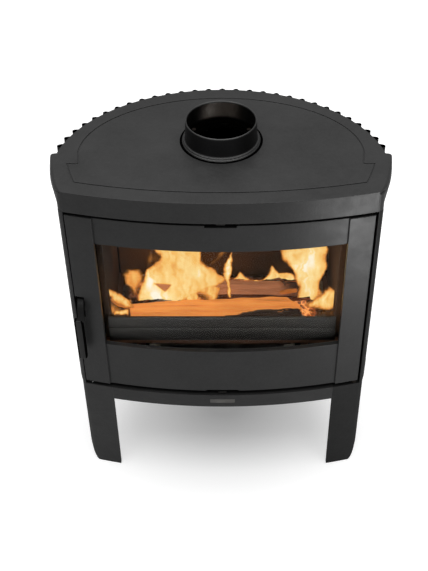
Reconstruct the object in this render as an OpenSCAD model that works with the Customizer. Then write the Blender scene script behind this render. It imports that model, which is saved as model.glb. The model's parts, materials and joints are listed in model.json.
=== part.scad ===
// Cast iron wood stove with a convex glazed door, a D-shaped top plate and a fluted back shell.
// The pieces are drawn with x to the right, y back from the front-most line and z up from the floor,
// and placed() then moves them so that the origin lies under the middle of the whole stove.

/* [Overall] */
// Height of the cooking surface above the floor
top_z = 816; // [780:1:860]
// Radius of the convex front
front_r = 1262; // [1100:1:1600]
// Width across the side castings
body_w = 646; // [640:1:652]
// Running and seating clearance between pieces
seat_gap = 0.3; // [0.2:0.05:0.5]
// Radial clearance of a pin in its bore
pin_gap = 0.05; // [0.02:0.01:0.1]

/* [Top plate] */
// Thickness of the top slab
slab_t = 8; // [6:0.5:12]
// Distance of the front edge's corners from the body's sides
fascia_in = 13; // [11:1:19]
// Height of the front edge of the top
fascia_h = 49; // [40:1:58]
// Thickness of the skirt under the slab
skirt_t = 7; // [5:0.5:8]
// How far each ear stands out past the body's side
ear_out = 26; // [17:1:32]
// Rounding of an ear's side edge
ear_edge = 5; // [3:0.5:7]
// Distance of the ears' back edge from the front
ear_y = 169; // [160:1:176]
// Depth of the flare that carries each ear
flare_h = 24; // [18:1:30]
// How far the curved back edge stands out past the body's side
back_out = 17; // [13:1:19]
// Depth of the curved back edge behind its centre
back_b = 299; // [290:1:310]
// Distance of that curve's centre from the front
back_y = 118; // [112:1:124]
// Distance of the panel line from the front edge
panel_in = 35; // [25:1:45]
// Width of the panel line
panel_line_w = 3.2; // [1:0.2:5]
// Depth of the panel line
panel_line_d = 2; // [0.5:0.1:3]
// Distance of the panel line's curved back from the body's side
panel_side = 30; // [25:1:38]
// Depth of the panel line's curved back
panel_b = 211; // [200:1:216]
// Distance of that curve's centre from the front
panel_y = 172; // [168:1:176]
// Distance of the panel line's shoulders from the body's side
shoulder_in = 12; // [7:1:23]
// Distance of the shoulders from the front
shoulder_y = 136; // [128:1:142]

/* [Flue] */
// Outer radius of the flue collar
collar_r = 75; // [65:1:80]
// Wall of the flue collar
collar_wall = 3; // [2.5:0.5:6]
// Height of the collar's rim above the cooking surface
collar_h = 49.5; // [40:0.5:70]
// Radius of the collar's flange
flange_r = 81; // [78:1:84]
// Thickness of the flange
flange_t = 6.5; // [5:0.5:8]
// Inner radius of the ledge at the foot of the collar
ledge_r = 61; // [50:1:62]
// Thickness of the ledge
ledge_t = 5; // [4:0.5:8]
// Distance of the flue's axis from the front
flue_y = 219; // [205:1:225]
// Width of the sunk ring around the flange
flue_ring_w = 5; // [2:0.5:6]
// Depth of the sunk ring
flue_ring_d = 4; // [0.5:0.5:5]
// Radius of the collar's screws
collar_screw_r = 3; // [2.5:0.5:4]

/* [Fluted shell] */
// Number of flutes
flutes = 29; // [23:2:33]
// Radius of one flute
flute_r = 5; // [3.5:0.5:7]
// How far the flutes stand out past the top plate
flute_out = 12.5; // [9:0.5:15]
// Distance back from the ears to the first flute's middle
flute_clear = 32; // [28:1:40]
// Wall of the shell
shell_t = 7; // [5:0.5:8]
// Set-back of the shell's outer wall from the top plate's edge
shell_in = 4; // [2:0.5:6]
// Thickness of the top plate's thin back edge
rim_t = 4; // [3:0.5:6]
// Width of that thin back edge
rim_w = 14; // [13:0.5:18]

/* [Sides and legs] */
// Wall of each side casting
side_wall = 10.2; // [9:0.1:11]
// Depth of the side wall from the front
side_y = 172; // [160:1:176]
// Radius of the front corner in plan
corner_w = 11; // [8:1:14]
// Width of each front leg, measured from the body's side
leg_w = 72; // [61:1:88]
// Set-back of the legs' outer edge from the body's side
leg_side = 3; // [1:0.5:5]
// Set-back of the feet's outer edge from the body's side
foot_side = 19; // [13:1:27]
// Height over which the foot's outer edge curves in
foot_curve_h = 85; // [60:1:110]
// Thickness of the legs
leg_t = 9; // [7:0.5:12]
// Depth of a leg's side flange from the front
leg_flange_y = 108; // [90:1:120]
// Width of the jamb flange inside each side casting
jamb_w = 35; // [30:1:40]
// How far the bead above the leg stands out
bead_out = 2; // [0:0.5:3]
// Height of the bead's middle above the floor
bead_z = 322; // [315:1:330]
// Height of the bead
bead_h = 44; // [30:1:50]

/* [Base] */
// Height of the base beam's top above the floor
beam_z = 273.6; // [268:0.2:278]
// Height of the base beam
beam_h = 37.4; // [32:0.2:44]
// Thickness of the base beam
beam_t = 10; // [8:0.5:12]
// Thickness of the shelf and of the bottom plate
floor_t = 8; // [6:0.5:10]
// Depth of the shelf behind the front
shelf_d = 60; // [56:1:64]
// Height of the sill behind the door
sill_h = 30; // [26:1:34]
// Width of the bare plate on the beam
plate_w = 56; // [40:1:70]
// Height of the bare plate
plate_h = 12; // [8:1:16]
// Thickness of the bare plate
plate_t = 1.3; // [1:0.1:2]
// Distance of the rear legs from the body's side
rear_leg_side = 138; // [128:1:170]
// Distance of the rear legs from the front
rear_leg_y = 335; // [315:1:340]
// Width of a rear leg at its top
rear_leg_w = 80; // [60:1:90]
// Width of a rear leg at the floor
rear_foot_w = 44; // [30:1:56]
// Depth of a rear leg's rib
rear_rib_d = 42; // [30:1:48]

/* [Door] */
// Height of the door's lower edge above the floor
door_z0 = 285; // [282:0.5:288]
// Height of the door's upper edge above the floor
door_z1 = 759; // [740:0.5:761]
// Gap between the door's edge and the side casting
door_gap = 5.3; // [4.3:0.1:6.8]
// Gap along the door's free edge
free_gap = 2.3; // [2:0.1:4]
// Width of the door's stiles
stile_w = 52; // [46:0.5:67]
// Height of the window's lower edge
window_z0 = 409; // [400:1:430]
// Height of the window's upper edge
window_z1 = 693; // [660:1:700]
// Thickness of the door's edge
door_t = 20; // [18:0.5:21]
// Thickness of the door at the glass
panel_t = 14; // [12:0.5:15]
// Set-back of the rails from the stiles
rail_in = 4; // [2:0.5:6]
// Width of the door's thick edge along top and bottom
edge_w = 24; // [20:1:28]
// Width of the notch over the upper air knob
top_notch_w = 64; // [58:1:76]
// Depth of the notch over the upper air knob
top_notch_d = 5; // [3:0.5:5]
// Width of the notch over the lower air knob
low_notch_w = 73; // [66:1:84]
// Depth of the notch over the lower air knob
low_notch_d = 3; // [2:0.5:4]
// Gap between the door's back and the jamb
jamb_gap = 2.5; // [2:0.1:4]
// Thickness of the jamb
jamb_t = 8; // [6:0.5:8]
// Width of the rope seal
rope_w = 10; // [8:0.5:11]
// Depth of the rope's groove
rope_groove = 2; // [1:0.5:3]
// Distance of the rope from the door's edges
rope_in = 5; // [5:0.5:7]
// Distance of the rope from the door's side edges
rope_side_in = 16; // [15.5:0.5:20]

/* [Glass] */
// Thickness of the glass
glass_t = 4; // [3:0.5:5]
// Overlap of the glass behind the frame
glass_lap = 10; // [6:0.5:11]
// Gap between frame and glass for the sealing tape
tape_gap = 2; // [1:0.25:2.5]
// Width of the sealing tape
tape_w = 8; // [5:0.5:9]
// Distance of the glass clips from the middle
clip_x = 150; // [100:1:190]
// Width of a glass clip
clip_w = 24; // [18:1:30]
// Thickness of a glass clip
clip_t = 2; // [1.5:0.25:3]
// Overlap of a clip on the glass
clip_lap = 9; // [5:0.5:12]
// Height of a clip's boss
boss_h = 15; // [12:0.5:18]
// Radius of the clips' screws
clip_screw_r = 2.5; // [2:0.25:3]

/* [Hinge] */
// Distance of the hinge axis from the door's side edge
hinge_edge = 8; // [7.5:0.1:9]
// Depth of the hinge axis behind the door's face
hinge_in = 9; // [8.5:0.1:10]
// Radius to which the door's back edge is rounded about the hinge axis
hinge_round = 13; // [12:0.1:13.2]
// Radius of the hinge pins
hinge_r = 4; // [3:0.25:4.5]
// Length of a hinge pin inside the door
hinge_len = 36; // [25:1:50]
// Radius of the lower pin's collar
hinge_collar_r = 7.5; // [6.5:0.25:7.5]
// Radius of the boss that holds the upper pin
hinge_boss_r = 9; // [8:0.25:9.5]
// Depth of the upper pin in its boss
hinge_seat = 18; // [12:1:20]

/* [Handle] */
// Distance of the lever from the door's edge
lever_in = 8.5; // [7.5:0.5:9.5]
// Width of the lever
lever_w = 13; // [9:0.5:13]
// Width of the notch for the lever
notch_w = 16.5; // [16:0.5:18.5]
// Height of the notch's upper edge
notch_z1 = 543; // [540:1:548]
// Height of the notch
notch_h = 57; // [54:1:64]
// Depth of the lever's pivot behind the door's face
pivot_in = 8.1; // [7.6:0.1:9.1]
// Height of the lever's pivot
pivot_z = 527; // [525:1:530]
// Radius of the lever's pin
lever_pin_r = 3.5; // [2.5:0.25:3.75]
// Radius of the lever's hub
hub_r = 9; // [7:0.5:10]
// Width of the grip
grip_w = 19; // [15:0.5:21]
// Thickness of the grip
grip_t = 14; // [10:0.5:14]
// Length of the grip
grip_len = 113; // [90:1:120]
// Height of the grip's top
grip_z1 = 496; // [490:1:500]
// How far the grip's face stands out in front of the pivot
grip_out = 35; // [33:0.5:38]
// Distance of the grip's axis from the door's edge
grip_in = 2.5; // [1.5:0.5:4.5]
// How far the latch nose reaches behind the pivot
nose_in = 42; // [41:0.5:46]
// Thickness of the latch nose
nose_t = 8; // [6:0.5:8]
// Height of the keeper above the pivot
keeper_up = 16; // [15:0.5:18]
// Height of the keeper
keeper_h = 17; // [12:0.5:22]
// Thickness of the keeper
keeper_t = 5.8; // [4:0.1:5.8]
// Clearance between keeper and latch nose at rest
keeper_gap = 0.6; // [0.5:0.1:1]
// Radius of the keeper's screws
keeper_screw_r = 2; // [1.5:0.25:2.5]
// Depth of the lever's pin in the door
pin_depth = 17; // [12:1:20]

/* [Air controls] */
// Half width of an air slider's knob
knob_x = 9; // [6:0.5:10]
// Thickness of a knob
knob_h = 5.8; // [4:0.2:5.8]
// Distance of a knob's tip from the front
knob_y = 5; // [4:0.5:8]
// Half length of the lower slider
slider_x = 95; // [80:1:100]
// Half length of the upper slider
wash_x = 70; // [60:1:80]
// Thickness of the sliders
slider_t = 4; // [3:0.5:4]
// Height of the sliders
slider_h = 13; // [10:0.5:15]
// Distance of the sliders from the front
slider_y = 36.6; // [36.4:0.1:38]
// Travel of a slider to each side
slider_travel = 20; // [10:1:22]
// Length of an air port
port_w = 20; // [12:1:24]
// Distance of an air port from the middle
port_x = 60; // [54:1:66]

/* [Firebox] */
// Height of the hearth above the floor
hearth_z = 385; // [378:1:395]
// Gap between the hearth and the side castings
hearth_gap = 50.8; // [49:0.1:57]
// Distance of the hearth's front edge from the front
hearth_y0 = 66; // [64:1:70]
// Distance of the hearth's back edge from the front
hearth_y1 = 300; // [297:1:302]
// Distance of the hearth's legs from its sides
hearth_leg_in = 73; // [52:1:80]
// Thickness of the inner plates
lining_t = 12; // [8:0.5:14]
// Distance of the side linings' faces from the hearth's sides
lining_in = 14; // [13:1:37]
// Height of the linings
lining_h = 305; // [280:1:310]
// Distance of the side linings from the front
lining_y = 78; // [76:1:84]
// Distance of the baffle's front edge from the front
baffle_y = 130; // [110:1:160]
// Thickness of the baffle
baffle_t = 8; // [6:0.5:10]
// Distance of the grate's ends from the hearth's legs
grate_in = 59; // [40:1:85]
// Width of the grate
grate_d = 130; // [100:1:150]
// Thickness of the grate
grate_t = 12; // [8:0.5:14]
// Number of slots in the grate
grate_slots = 11; // [7:1:15]
// Width of a grate slot
grate_slot_w = 10; // [6:0.5:12]
// Width of the ledge under the grate
grate_ledge = 8; // [6:0.5:10]
// Height of the log retainer
retainer_h = 68; // [55:1:80]
// Thickness of the log retainer
retainer_t = 8; // [6:0.5:9]
// Distance of the log retainer's ends from the hearth's sides
retainer_in = 12; // [10:1:22]
// Height of the swelling along the log retainer's foot
retainer_foot = 38; // [20:1:42]
// How far the log retainer's swelling stands out from its face
retainer_out = 5; // [2:0.5:7]
// Gap between the ash pan and the hearth's legs
pan_gap = 25; // [18:1:45]
// Depth of the ash pan
pan_d = 190; // [160:1:200]
// Height of the ash pan
pan_h = 58; // [40:1:60]
// Wall of the ash pan
pan_t = 2; // [1.5:0.25:3]
// Height of the ribs that carry the ash pan
pan_rib_h = 42; // [38:1:44]
// Radius of the tie rods
rod_r = 4; // [3:0.5:5]
// Radius of the rear legs' bolts
bolt_r = 4; // [3:0.5:5]

/* [Logs] */
// How much shorter the front log is than the firebox
log_spare = 70; // [60:5:100]
// How much shorter the back log is than the front log
log_less = 30; // [10:1:60]
// Distance of the front log behind the hearth's front edge
log_y = 60; // [55:1:70]
// Distance of the back log behind the hearth's front edge
back_log_y = 154; // [150:1:165]
// Width of a log
log_w = 66; // [55:1:70]
// Height of a log
log_h = 64; // [55:1:70]
// Height of the log behind it
back_log_h = 44; // [36:1:60]

/* [Hidden] */

iron = "#3b3b3b";
iron_dark = "#262626";
soot = "#33261e";
steel = "#8a8d90";
black = "#151515";
rope_grey = "#5c5a55";
log_wood = "#b0662f";
$fn = 48;
// Faces of the large arcs
arc_fn = 720;
// Small overlap that joins shapes of one piece or lets a cut pass its faces
eps = 1;
// Play around a knob in its slot
knob_play = 1.5;
// Step behind each ear
ear_step = 2;
// Overlap of the side flanges past the inner face of a side casting
flange_lap = 3;
// Wall of the guides that carry the air sliders
guide_t = 4;
// Distance of a clip's boss from the glass
boss_in = 3;
// Thickness of the hearth's legs
hearth_leg_t = 8;
// Shift and turn of each log
log_shift = 18;
log_turn = [4, -3];

overall_d = back_y + back_b + flute_out;
// A length that reaches past the whole stove, for cuts
past = overall_d + body_w;
side_out = body_w / 2;
side_in = side_out - side_wall;
fascia_x = side_out - fascia_in;
ear_x = side_out + ear_out;
back_a = side_out + back_out;
panel_a = side_out - panel_side;
shoulder_x = side_out - shoulder_in;
leg_in = side_out - leg_w;
leg_out = side_out - leg_side;
foot_out = side_out - foot_side;
rear_leg_x = side_out - rear_leg_side;
door_x = side_in - door_gap;
free_x = side_in - free_gap;
window_x = door_x - stile_w;
lever_x = door_x - lever_in;
notch_x = door_x - notch_w;
grip_x = door_x - grip_in;
hearth_x = side_in - hearth_gap;
hearth_leg_x = hearth_x - hearth_leg_in;
lining_x = hearth_x - lining_in;
retainer_x = hearth_x - retainer_in;
grate_x = hearth_leg_x - grate_in;
pan_x = hearth_leg_x - hearth_leg_t / 2 - pan_gap;
log_len = 2 * lining_x - log_spare;
skirt_z = top_z - fascia_h;
slab_z = top_z - slab_t;
rim_z = top_z - rim_t;
jamb_off = door_t + jamb_gap;
jamb_back = jamb_off + jamb_t;
jamb_x = side_in - jamb_w;
floor_z = beam_z - floor_t;
base_z = floor_z - floor_t;
sill_z = beam_z + sill_h;
rail_z = door_z1 - edge_w + rope_in;
hinge_x = door_x - hinge_edge;
hinge_y = arc_y(hinge_x, hinge_in);
pivot_y = arc_y(lever_x) + pivot_in;
grip_y = pivot_y - grip_out;
nose_y = pivot_y + nose_in;
glass_off = panel_t + tape_gap;
keeper_z = pivot_z + keeper_up;
keeper_screw_z = keeper_z + keeper_h - 5;
keeper_y = arc_y(side_in - 4, jamb_back) + seat_gap;
lining_z1 = hearth_z + lining_h;
back_lining_y = hearth_y1 - 2 - lining_t;
slider_back = slider_y + slider_t + seat_gap;
knob_low_z = beam_z + 2.4;
knob_top_z = (door_z1 + skirt_z - knob_h) / 2;
wash_z = knob_top_z - 2 * knob_play;
grate_y0 = hearth_y0 + 52;
pan_y0 = hearth_y0 + 6;
pan_z0 = floor_z + pan_rib_h;
hearth_leg_y = arc_y(hearth_leg_x + hearth_leg_t / 2, shelf_d) + 2;
// Places of the tie rods and size of their bosses under the top
rod_front = [side_in - 27.8, 105];
rod_back = [rear_leg_x - 35, 348];
boss_wall = 5;
boss_depth = 28;
boss_cap = 8;
// Heads and nuts
nut_h = 6;
screw_head_h = 2.5;
screw_head_w = 1.5;
collar_head_h = 2;
jamb_screw = 6;
rear_plate_t = 10;
rear_bolt_in = 18;
// Inner end and back face of the shell's flanges, with a margin
flange_x0 = side_in - flange_lap - 2;
flange_y1 = side_y + shell_t + flange_lap;

// Distance back to the front curve at x, with the curve moved inward by off
function arc_y(x, off = 0) = front_r - sqrt(pow(front_r - off, 2) - x * x);
// Point of the back ellipse at an angle, moved inward by off
function back_point(t, off = 0) = [(back_a - off) * cos(t), back_y + (back_b - off) * sin(t)];
// Angle at which the back ellipse passes a given distance from the front
function back_angle(y, off = 0) = asin((y - back_y) / (back_b - off));
// Length of the ellipse per degree at an angle
function back_speed(t) = norm([back_a * sin(t), back_b * cos(t)]) * PI / 180;
// Length of the ellipse between two angles
function back_length(t0, t1, n = 90) = let (d = (t1 - t0) / n)
    [for (i = 0, s = 0; i <= n; s = s + back_speed(t0 + (i + 0.5) * d) * d, i = i + 1) s][n];
// Angle reached after walking a length along the ellipse in small steps
function walk(t, left, d = 2) = left <= d ? t + left / back_speed(t) : walk(t + d / back_speed(t + 0.2),
    left - d, d);
// Points of a quadratic curve
function curve(a, b, c,
    n = 16) = [for (i = [0:n]) let (t = i / n) (1 - t) * (1 - t) * a + 2 * t * (1 - t) * b + t * t * c];
// List of points turned round and mirrored to the left
function mirrored(p) = [for (i = [len(p) - 1:-1:0]) [-p[i][0], p[i][1]]];
// Front arc between two x values
function front_points(x0, x1, off = 0,
    n = 60) = [for (i = [0:n]) let (x = x0 + (x1 - x0) * i / n) [x, arc_y(x, off)]];
// Back ellipse between two angles
function back_points(t0, t1, off = 0, n = 90) = [for (i = [0:n]) back_point(t0 + (t1 - t0) * i / n, off)];

// Edge of the top face along an ear, inside the rounding
ear_curve = curve([fascia_x, arc_y(fascia_x)], [side_out + 5, arc_y(fascia_x) + 23], [ear_x - ear_edge, ear_y]);
// The same edge moved out to a share of the rounding, more in the middle than at the ends
function ear_side(share, off = 0) = let (n = len(ear_curve) - 1)
    [for (i = [0:n]) ear_curve[i] + [share * ear_edge * min(1, 3 * i / n) * (1 + 0.6 * sin(180 * i / n)) - off, 0]];
ear_end = [back_a * cos(back_angle(ear_y + ear_step)), ear_y + ear_step];
flute_start = back_angle(ear_y + flute_clear);
flute_step = back_length(flute_start, 180 - flute_start) / (flutes - 1);

module placed() {
    translate([0, -overall_d / 2, 0]) children();
}

// Large upright drum that gives the front its curve
module drum(off, z0, z1) {
    translate([0, front_r, z0]) cylinder(r = front_r - off, h = z1 - z0, $fn = arc_fn);
}

// Curved band along the front between two offsets
module front_band(x0, x1, z0, z1, off0, off1) {
    intersection() {
        difference() {
            drum(off0, z0, z1);
            drum(off1, z0 - eps, z1 + eps);
        }
        translate([x0, -2, z0]) cube([x1 - x0, past, z1 - z0]);
    }
}

// Frame of reference on the front curve at x, with -y pointing out of the stove
module at_front(x) {
    translate([x, arc_y(x), 0]) rotate([0, 0, asin(x / front_r)]) children();
}

module both_sides() {
    children();
    mirror([1, 0, 0]) children();
}

// Plan of the top, with its ears
module top_outline() {
    half = concat(ear_curve, [ear_end], back_points(back_angle(ear_y + ear_step) + 0.5, 90));
    polygon(concat(front_points(-fascia_x, fascia_x), half, mirrored(half)));
}

// Plan inside the panel line, drawn in by off
module panel_outline(off) {
    front_x = panel_a - 2 - off;
    start = curve([front_x, arc_y(front_x, panel_in + off)], [shoulder_x - 8 - off, shoulder_y - 34],
        [shoulder_x - off, shoulder_y - off], 8);
    back = [for (i = [0:60]) let (t = 90 * i / 60)
        [(panel_a - off) * cos(t), panel_y + (panel_b - off) * sin(t)]];
    half = concat(start, [[panel_a - 5 - off, shoulder_y - off]], back);
    polygon(concat(front_points(-front_x, front_x, panel_in + off), half, mirrored(half)));
}

// Plan of the skirt's outside at its lower edge, drawn in by off
module skirt_outline(off) {
    corner = curve([fascia_x - off, arc_y(fascia_x - off, off)], [side_out - off, arc_y(side_out, off)],
        [side_out - off, arc_y(fascia_x) + corner_w + 4], 6);
    half = concat(corner, [[side_out - off, side_y]]);
    polygon(concat(front_points(-fascia_x + off, fascia_x - off, off), half, mirrored(half)));
}

// Flare under one ear, drawn in by off
module ear_flare(off) {
    hull() {
        for (level = [[0, 0], [0.6 * ear_edge, 0.7], [1.8 * ear_edge, 1]])
            translate([0, 0, top_z - level[0] - 0.01]) linear_extrude(0.01)
            polygon(concat(ear_side(level[1], off), [[fascia_x - 12, ear_y], [fascia_x - 12, arc_y(fascia_x)]]));
        translate([0, 0, slab_z - flare_h]) linear_extrude(0.01)
            intersection() {
                skirt_outline(off);
                translate([fascia_x - 12, 0]) square([60, ear_y]);
            }
    }
}

module top_plate() {
    color(iron) placed() {
        difference() {
            union() {
                difference() {
                    translate([0, 0, slab_z]) linear_extrude(slab_t) top_outline();
                    translate([0, 0, slab_z - eps]) linear_extrude(slab_t - rim_t + eps) difference() {
                        translate([-back_a - eps, ear_y + ear_step]) square([2 * back_a + 2 * eps, back_b]);
                        intersection() {
                            polygon(back_points(0, 180, rim_w));
                            polygon([[flange_x0, 0], [flange_x0, flange_y1], [back_a, flange_y1], [back_a, past],
                                [-back_a, past], [-back_a, flange_y1], [-flange_x0, flange_y1], [-flange_x0, 0]]);
                        }
                    }
                }
                intersection() {
                    translate([0, 0, skirt_z]) linear_extrude(slab_z - skirt_z + eps) difference() {
                        skirt_outline(0);
                        translate([0, eps]) skirt_outline(skirt_t);
                    }
                    translate([-side_out, -eps, skirt_z]) cube([body_w, side_y + eps, fascia_h]);
                }
                both_sides() difference() {
                    ear_flare(0);
                    translate([0, 0, -skirt_t]) ear_flare(skirt_t + 2);
                }
                translate([hinge_x, hinge_y, skirt_z]) cylinder(r = hinge_boss_r, h = slab_z - skirt_z + eps);
                for (p = rod_places()) translate([p[0], p[1], slab_z - boss_depth])
                    cylinder(r = rod_r + boss_wall, h = boss_depth + eps);
            }
            translate([0, flue_y, slab_z - eps]) cylinder(r = ledge_r - 2, h = slab_t + 2 * eps, $fn = 96);
            translate([0, flue_y, top_z - flue_ring_d]) difference() {
                cylinder(r = flange_r + flue_ring_w, h = flue_ring_d + eps, $fn = 96);
                translate([0, 0, -eps]) cylinder(r = flange_r, h = flue_ring_d + 3 * eps, $fn = 96);
            }
            for (a = screw_angles()) translate([0, flue_y, 0]) rotate([0, 0, a])
                translate([screw_ring(), 0, slab_z - eps])
                cylinder(r = collar_screw_r + pin_gap, h = slab_t + 2 * eps);
            translate([hinge_x, hinge_y, skirt_z - eps])
                cylinder(r = hinge_r + pin_gap, h = hinge_seat + eps + seat_gap);
            for (p = rod_places()) translate([p[0], p[1], slab_z - boss_depth - eps])
                cylinder(r = rod_r + pin_gap, h = boss_depth - boss_cap + eps);
            translate([0, 0, top_z - panel_line_d]) linear_extrude(panel_line_d + eps) difference() {
                panel_outline(0);
                panel_outline(panel_line_w);
            }
        }
    }
}

function rod_places() = [for (s = [-1, 1]) each [[s * rod_front[0], rod_front[1]],
    [s * rod_back[0], rod_back[1]]]];
function screw_angles() = [30, 150, 270];
function screw_ring() = (ledge_r + collar_r - collar_wall) / 2;

module flue_collar() {
    color(iron_dark) placed() translate([0, flue_y, top_z]) difference() {
        union() {
            cylinder(r = flange_r, h = flange_t, $fn = 96);
            cylinder(r = collar_r, h = collar_h, $fn = 96);
        }
        translate([0, 0, ledge_t]) cylinder(r = collar_r - collar_wall, h = collar_h, $fn = 96);
        translate([0, 0, -eps]) cylinder(r = ledge_r, h = collar_h, $fn = 96);
        for (a = screw_angles()) rotate([0, 0, a]) translate([screw_ring(), 0, 0]) {
            translate([0, 0, -eps]) cylinder(r = collar_screw_r + pin_gap, h = ledge_t + 2 * eps);
            translate([0, 0, ledge_t - collar_head_h - seat_gap])
                cylinder(r = collar_screw_r + screw_head_w + pin_gap, h = collar_head_h + seat_gap + eps);
        }
    }
}

// Screws with their heads sunk in the ledge
module collar_screws() {
    head_z = top_z + ledge_t - collar_head_h - seat_gap;
    color(steel) placed() for (a = screw_angles()) translate([0, flue_y, 0]) rotate([0, 0, a])
        translate([screw_ring(), 0, 0]) {
            translate([0, 0, slab_z]) cylinder(r = collar_screw_r, h = head_z - slab_z + eps);
            translate([0, 0, head_z]) cylinder(r = collar_screw_r + screw_head_w, h = collar_head_h);
        }
}

// Outside of a side casting seen from the front: foot curve, leg, bead and column
module side_profile() {
    foot = [for (i = [0:10]) let (t = 90 * i / 10)
        [foot_out + (leg_out - foot_out) * sin(t), foot_curve_h * (1 - cos(t))]];
    polygon(concat([[leg_in - leg_w, 0]], foot,
        [[leg_out, beam_z + 6], [side_out, beam_z + 22], [side_out + bead_out, bead_z - bead_h / 4],
        [side_out + bead_out, bead_z + bead_h / 4], [side_out, bead_z + bead_h / 2], [side_out, skirt_z],
            [leg_in - leg_w, skirt_z]]));
}

// Plan of a side casting's outside, with its rounded front corner
module side_plan(y1) {
    x0 = side_in - flange_lap;
    x1 = side_out + bead_out + eps;
    corner = curve([x0, arc_y(x0)], [side_out, arc_y(side_out)], [side_out, arc_y(side_in) + corner_w], 8);
    polygon(concat(front_points(leg_in, x0, 0, 20), corner,
        [[x1, arc_y(side_in) + corner_w + 12], [x1, y1], [leg_in, y1]]));
}

// The same plan, hollowed behind a front wall of thickness t
module side_section(y1, t) {
    difference() {
        side_plan(y1);
        polygon(concat(front_points(leg_in - eps, side_in, t, 20), [[side_in, past], [leg_in - eps, past]]));
    }
}

// Right-hand casting: front leg, shelf, column, side wall and jamb
module side_casting() {
    difference() {
        intersection() {
            translate([0, side_y + eps, 0]) rotate([90, 0, 0])
                linear_extrude(side_y + 2 * eps) side_profile();
            union() {
                linear_extrude(floor_z) side_section(leg_flange_y, leg_t);
                translate([0, 0, floor_z]) linear_extrude(floor_t) side_section(side_y, shelf_d);
                translate([0, 0, base_z]) linear_extrude(skirt_z - base_z) difference() {
                    side_plan(side_y);
                    translate([-eps, -eps]) square([side_in + eps, past]);
                }
                translate([0, 0, beam_z]) linear_extrude(skirt_z - beam_z) difference() {
                    polygon(concat(front_points(jamb_x, side_in + eps, jamb_off, 8),
                        [[side_in + eps, past], [jamb_x, past]]));
                    polygon(concat(front_points(jamb_x - eps, side_in + 2 * eps, jamb_back, 8),
                        [[side_in + 2 * eps, past + eps], [jamb_x - eps, past + eps]]));
                }
            }
        }
        translate([hinge_x, hinge_y, floor_z - eps]) cylinder(r = hinge_r + pin_gap, h = floor_t + 2 * eps);
    }
}

module right_side() {
    color(iron) placed() side_casting();
}

module left_side() {
    slot_x0 = lever_x - lever_w / 2 - 5;
    slot_z0 = notch_z1 - notch_h + 12;
    color(iron) placed() difference() {
        mirror([1, 0, 0]) difference() {
            side_casting();
            translate([slot_x0, jamb_off, slot_z0])
                cube([side_in - slot_x0 - 0.5, 60, keeper_z + 4 - slot_z0]);
        }
        for (x = keeper_holes()) translate([x, jamb_off, keeper_screw_z]) rotate([-90, 0, 0])
            cylinder(r = keeper_screw_r + pin_gap, h = 60);
    }
}

function keeper_holes() = [-side_in + 8, -lever_x + lever_w / 2 - 1];

module latch_keeper() {
    x0 = -side_in + 3;
    color(steel) placed() difference() {
        translate([x0, keeper_y, keeper_z]) cube([lever_w + 10, keeper_t, keeper_h]);
        for (x = keeper_holes()) translate([x, keeper_y - eps, keeper_screw_z]) rotate([-90, 0, 0])
            cylinder(r = keeper_screw_r + pin_gap, h = keeper_t + 2 * eps);
    }
}

module keeper_screws() {
    color(steel) placed() for (x = keeper_holes()) translate([x, 0, keeper_screw_z]) rotate([-90, 0, 0]) {
        translate([0, 0, keeper_y - jamb_screw])
            cylinder(r = keeper_screw_r, h = keeper_t + jamb_screw + eps);
        translate([0, 0, keeper_y + keeper_t]) cylinder(r = keeper_screw_r + screw_head_w, h = screw_head_h);
    }
}

module base_beam() {
    color(iron) placed() difference() {
        union() {
            front_band(-leg_in, leg_in, beam_z - beam_h, beam_z, 0, beam_t);
            front_band(-leg_in, leg_in, floor_z, beam_z, 0, shelf_d);
            front_band(-jamb_x, jamb_x, beam_z, sill_z, jamb_off, jamb_back);
            translate([-slider_x, slider_back, beam_z - eps]) cube([2 * slider_x, guide_t, slider_h + eps]);
        }
        front_band(-plate_w / 2 - seat_gap, plate_w / 2 + seat_gap, plate_z() - plate_h / 2 - seat_gap,
            plate_z() + plate_h / 2 + seat_gap, -eps, plate_t);
        slider_slots(knob_low_z, jamb_off, slider_y, port_x);
    }
}

function plate_z() = beam_z - beam_h / 2;

// Slot for a knob and two air ports through the jamb
module slider_slots(z, off, y1, port) {
    slot_x = knob_x + slider_travel + 2 * knob_play;
    slot_h = knob_h + 2 * knob_play;
    translate([-slot_x, off - eps, z - knob_play]) cube([2 * slot_x, y1 - off + eps, slot_h]);
    for (s = [-1, 1]) translate([s * port - port_w / 2, off - eps, z - knob_play]) cube([port_w, 20, slot_h]);
}

module badge_plate() {
    color(steel) placed() front_band(-plate_w / 2, plate_w / 2, plate_z() - plate_h / 2,
        plate_z() + plate_h / 2,
        0.1, plate_t - 0.1);
}

module upper_rail() {
    ledge_z = wash_z - seat_gap;
    ledge_h = guide_t + 2;
    ledge_x = wash_x + 8;
    color(iron_dark) placed() difference() {
        union() {
            front_band(-jamb_x, jamb_x, rail_z, slab_z, jamb_off, jamb_back);
            translate([-ledge_x, jamb_back - 2, ledge_z - ledge_h])
                cube([2 * ledge_x, slider_back + guide_t + 2 - jamb_back, ledge_h]);
            translate([-ledge_x, slider_back, ledge_z - eps]) cube([2 * ledge_x, guide_t, slider_h + eps]);
        }
        slider_slots(knob_top_z, jamb_off, slider_y, port_x - 9);
    }
}

// Straight slider with its knob, drawn from the bar's lower edge
module air_slider(half, bar_z, knob_z, port) {
    difference() {
        union() {
            translate([-half, slider_y, bar_z]) cube([2 * half, slider_t, slider_h]);
            translate([-knob_x, knob_y, knob_z]) cube([2 * knob_x, slider_y - knob_y + eps, knob_h]);
        }
        for (s = [-1, 1]) translate([s * port - port_w / 2, slider_y - eps, knob_z])
            cube([port_w, slider_t + 2 * eps, knob_h]);
    }
}

module primary_slider() {
    color(steel) placed() air_slider(slider_x, beam_z + seat_gap, knob_low_z, port_x);
}

module airwash_slider() {
    color(steel) placed() air_slider(wash_x, wash_z, knob_top_z, port_x - 9);
}

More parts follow.
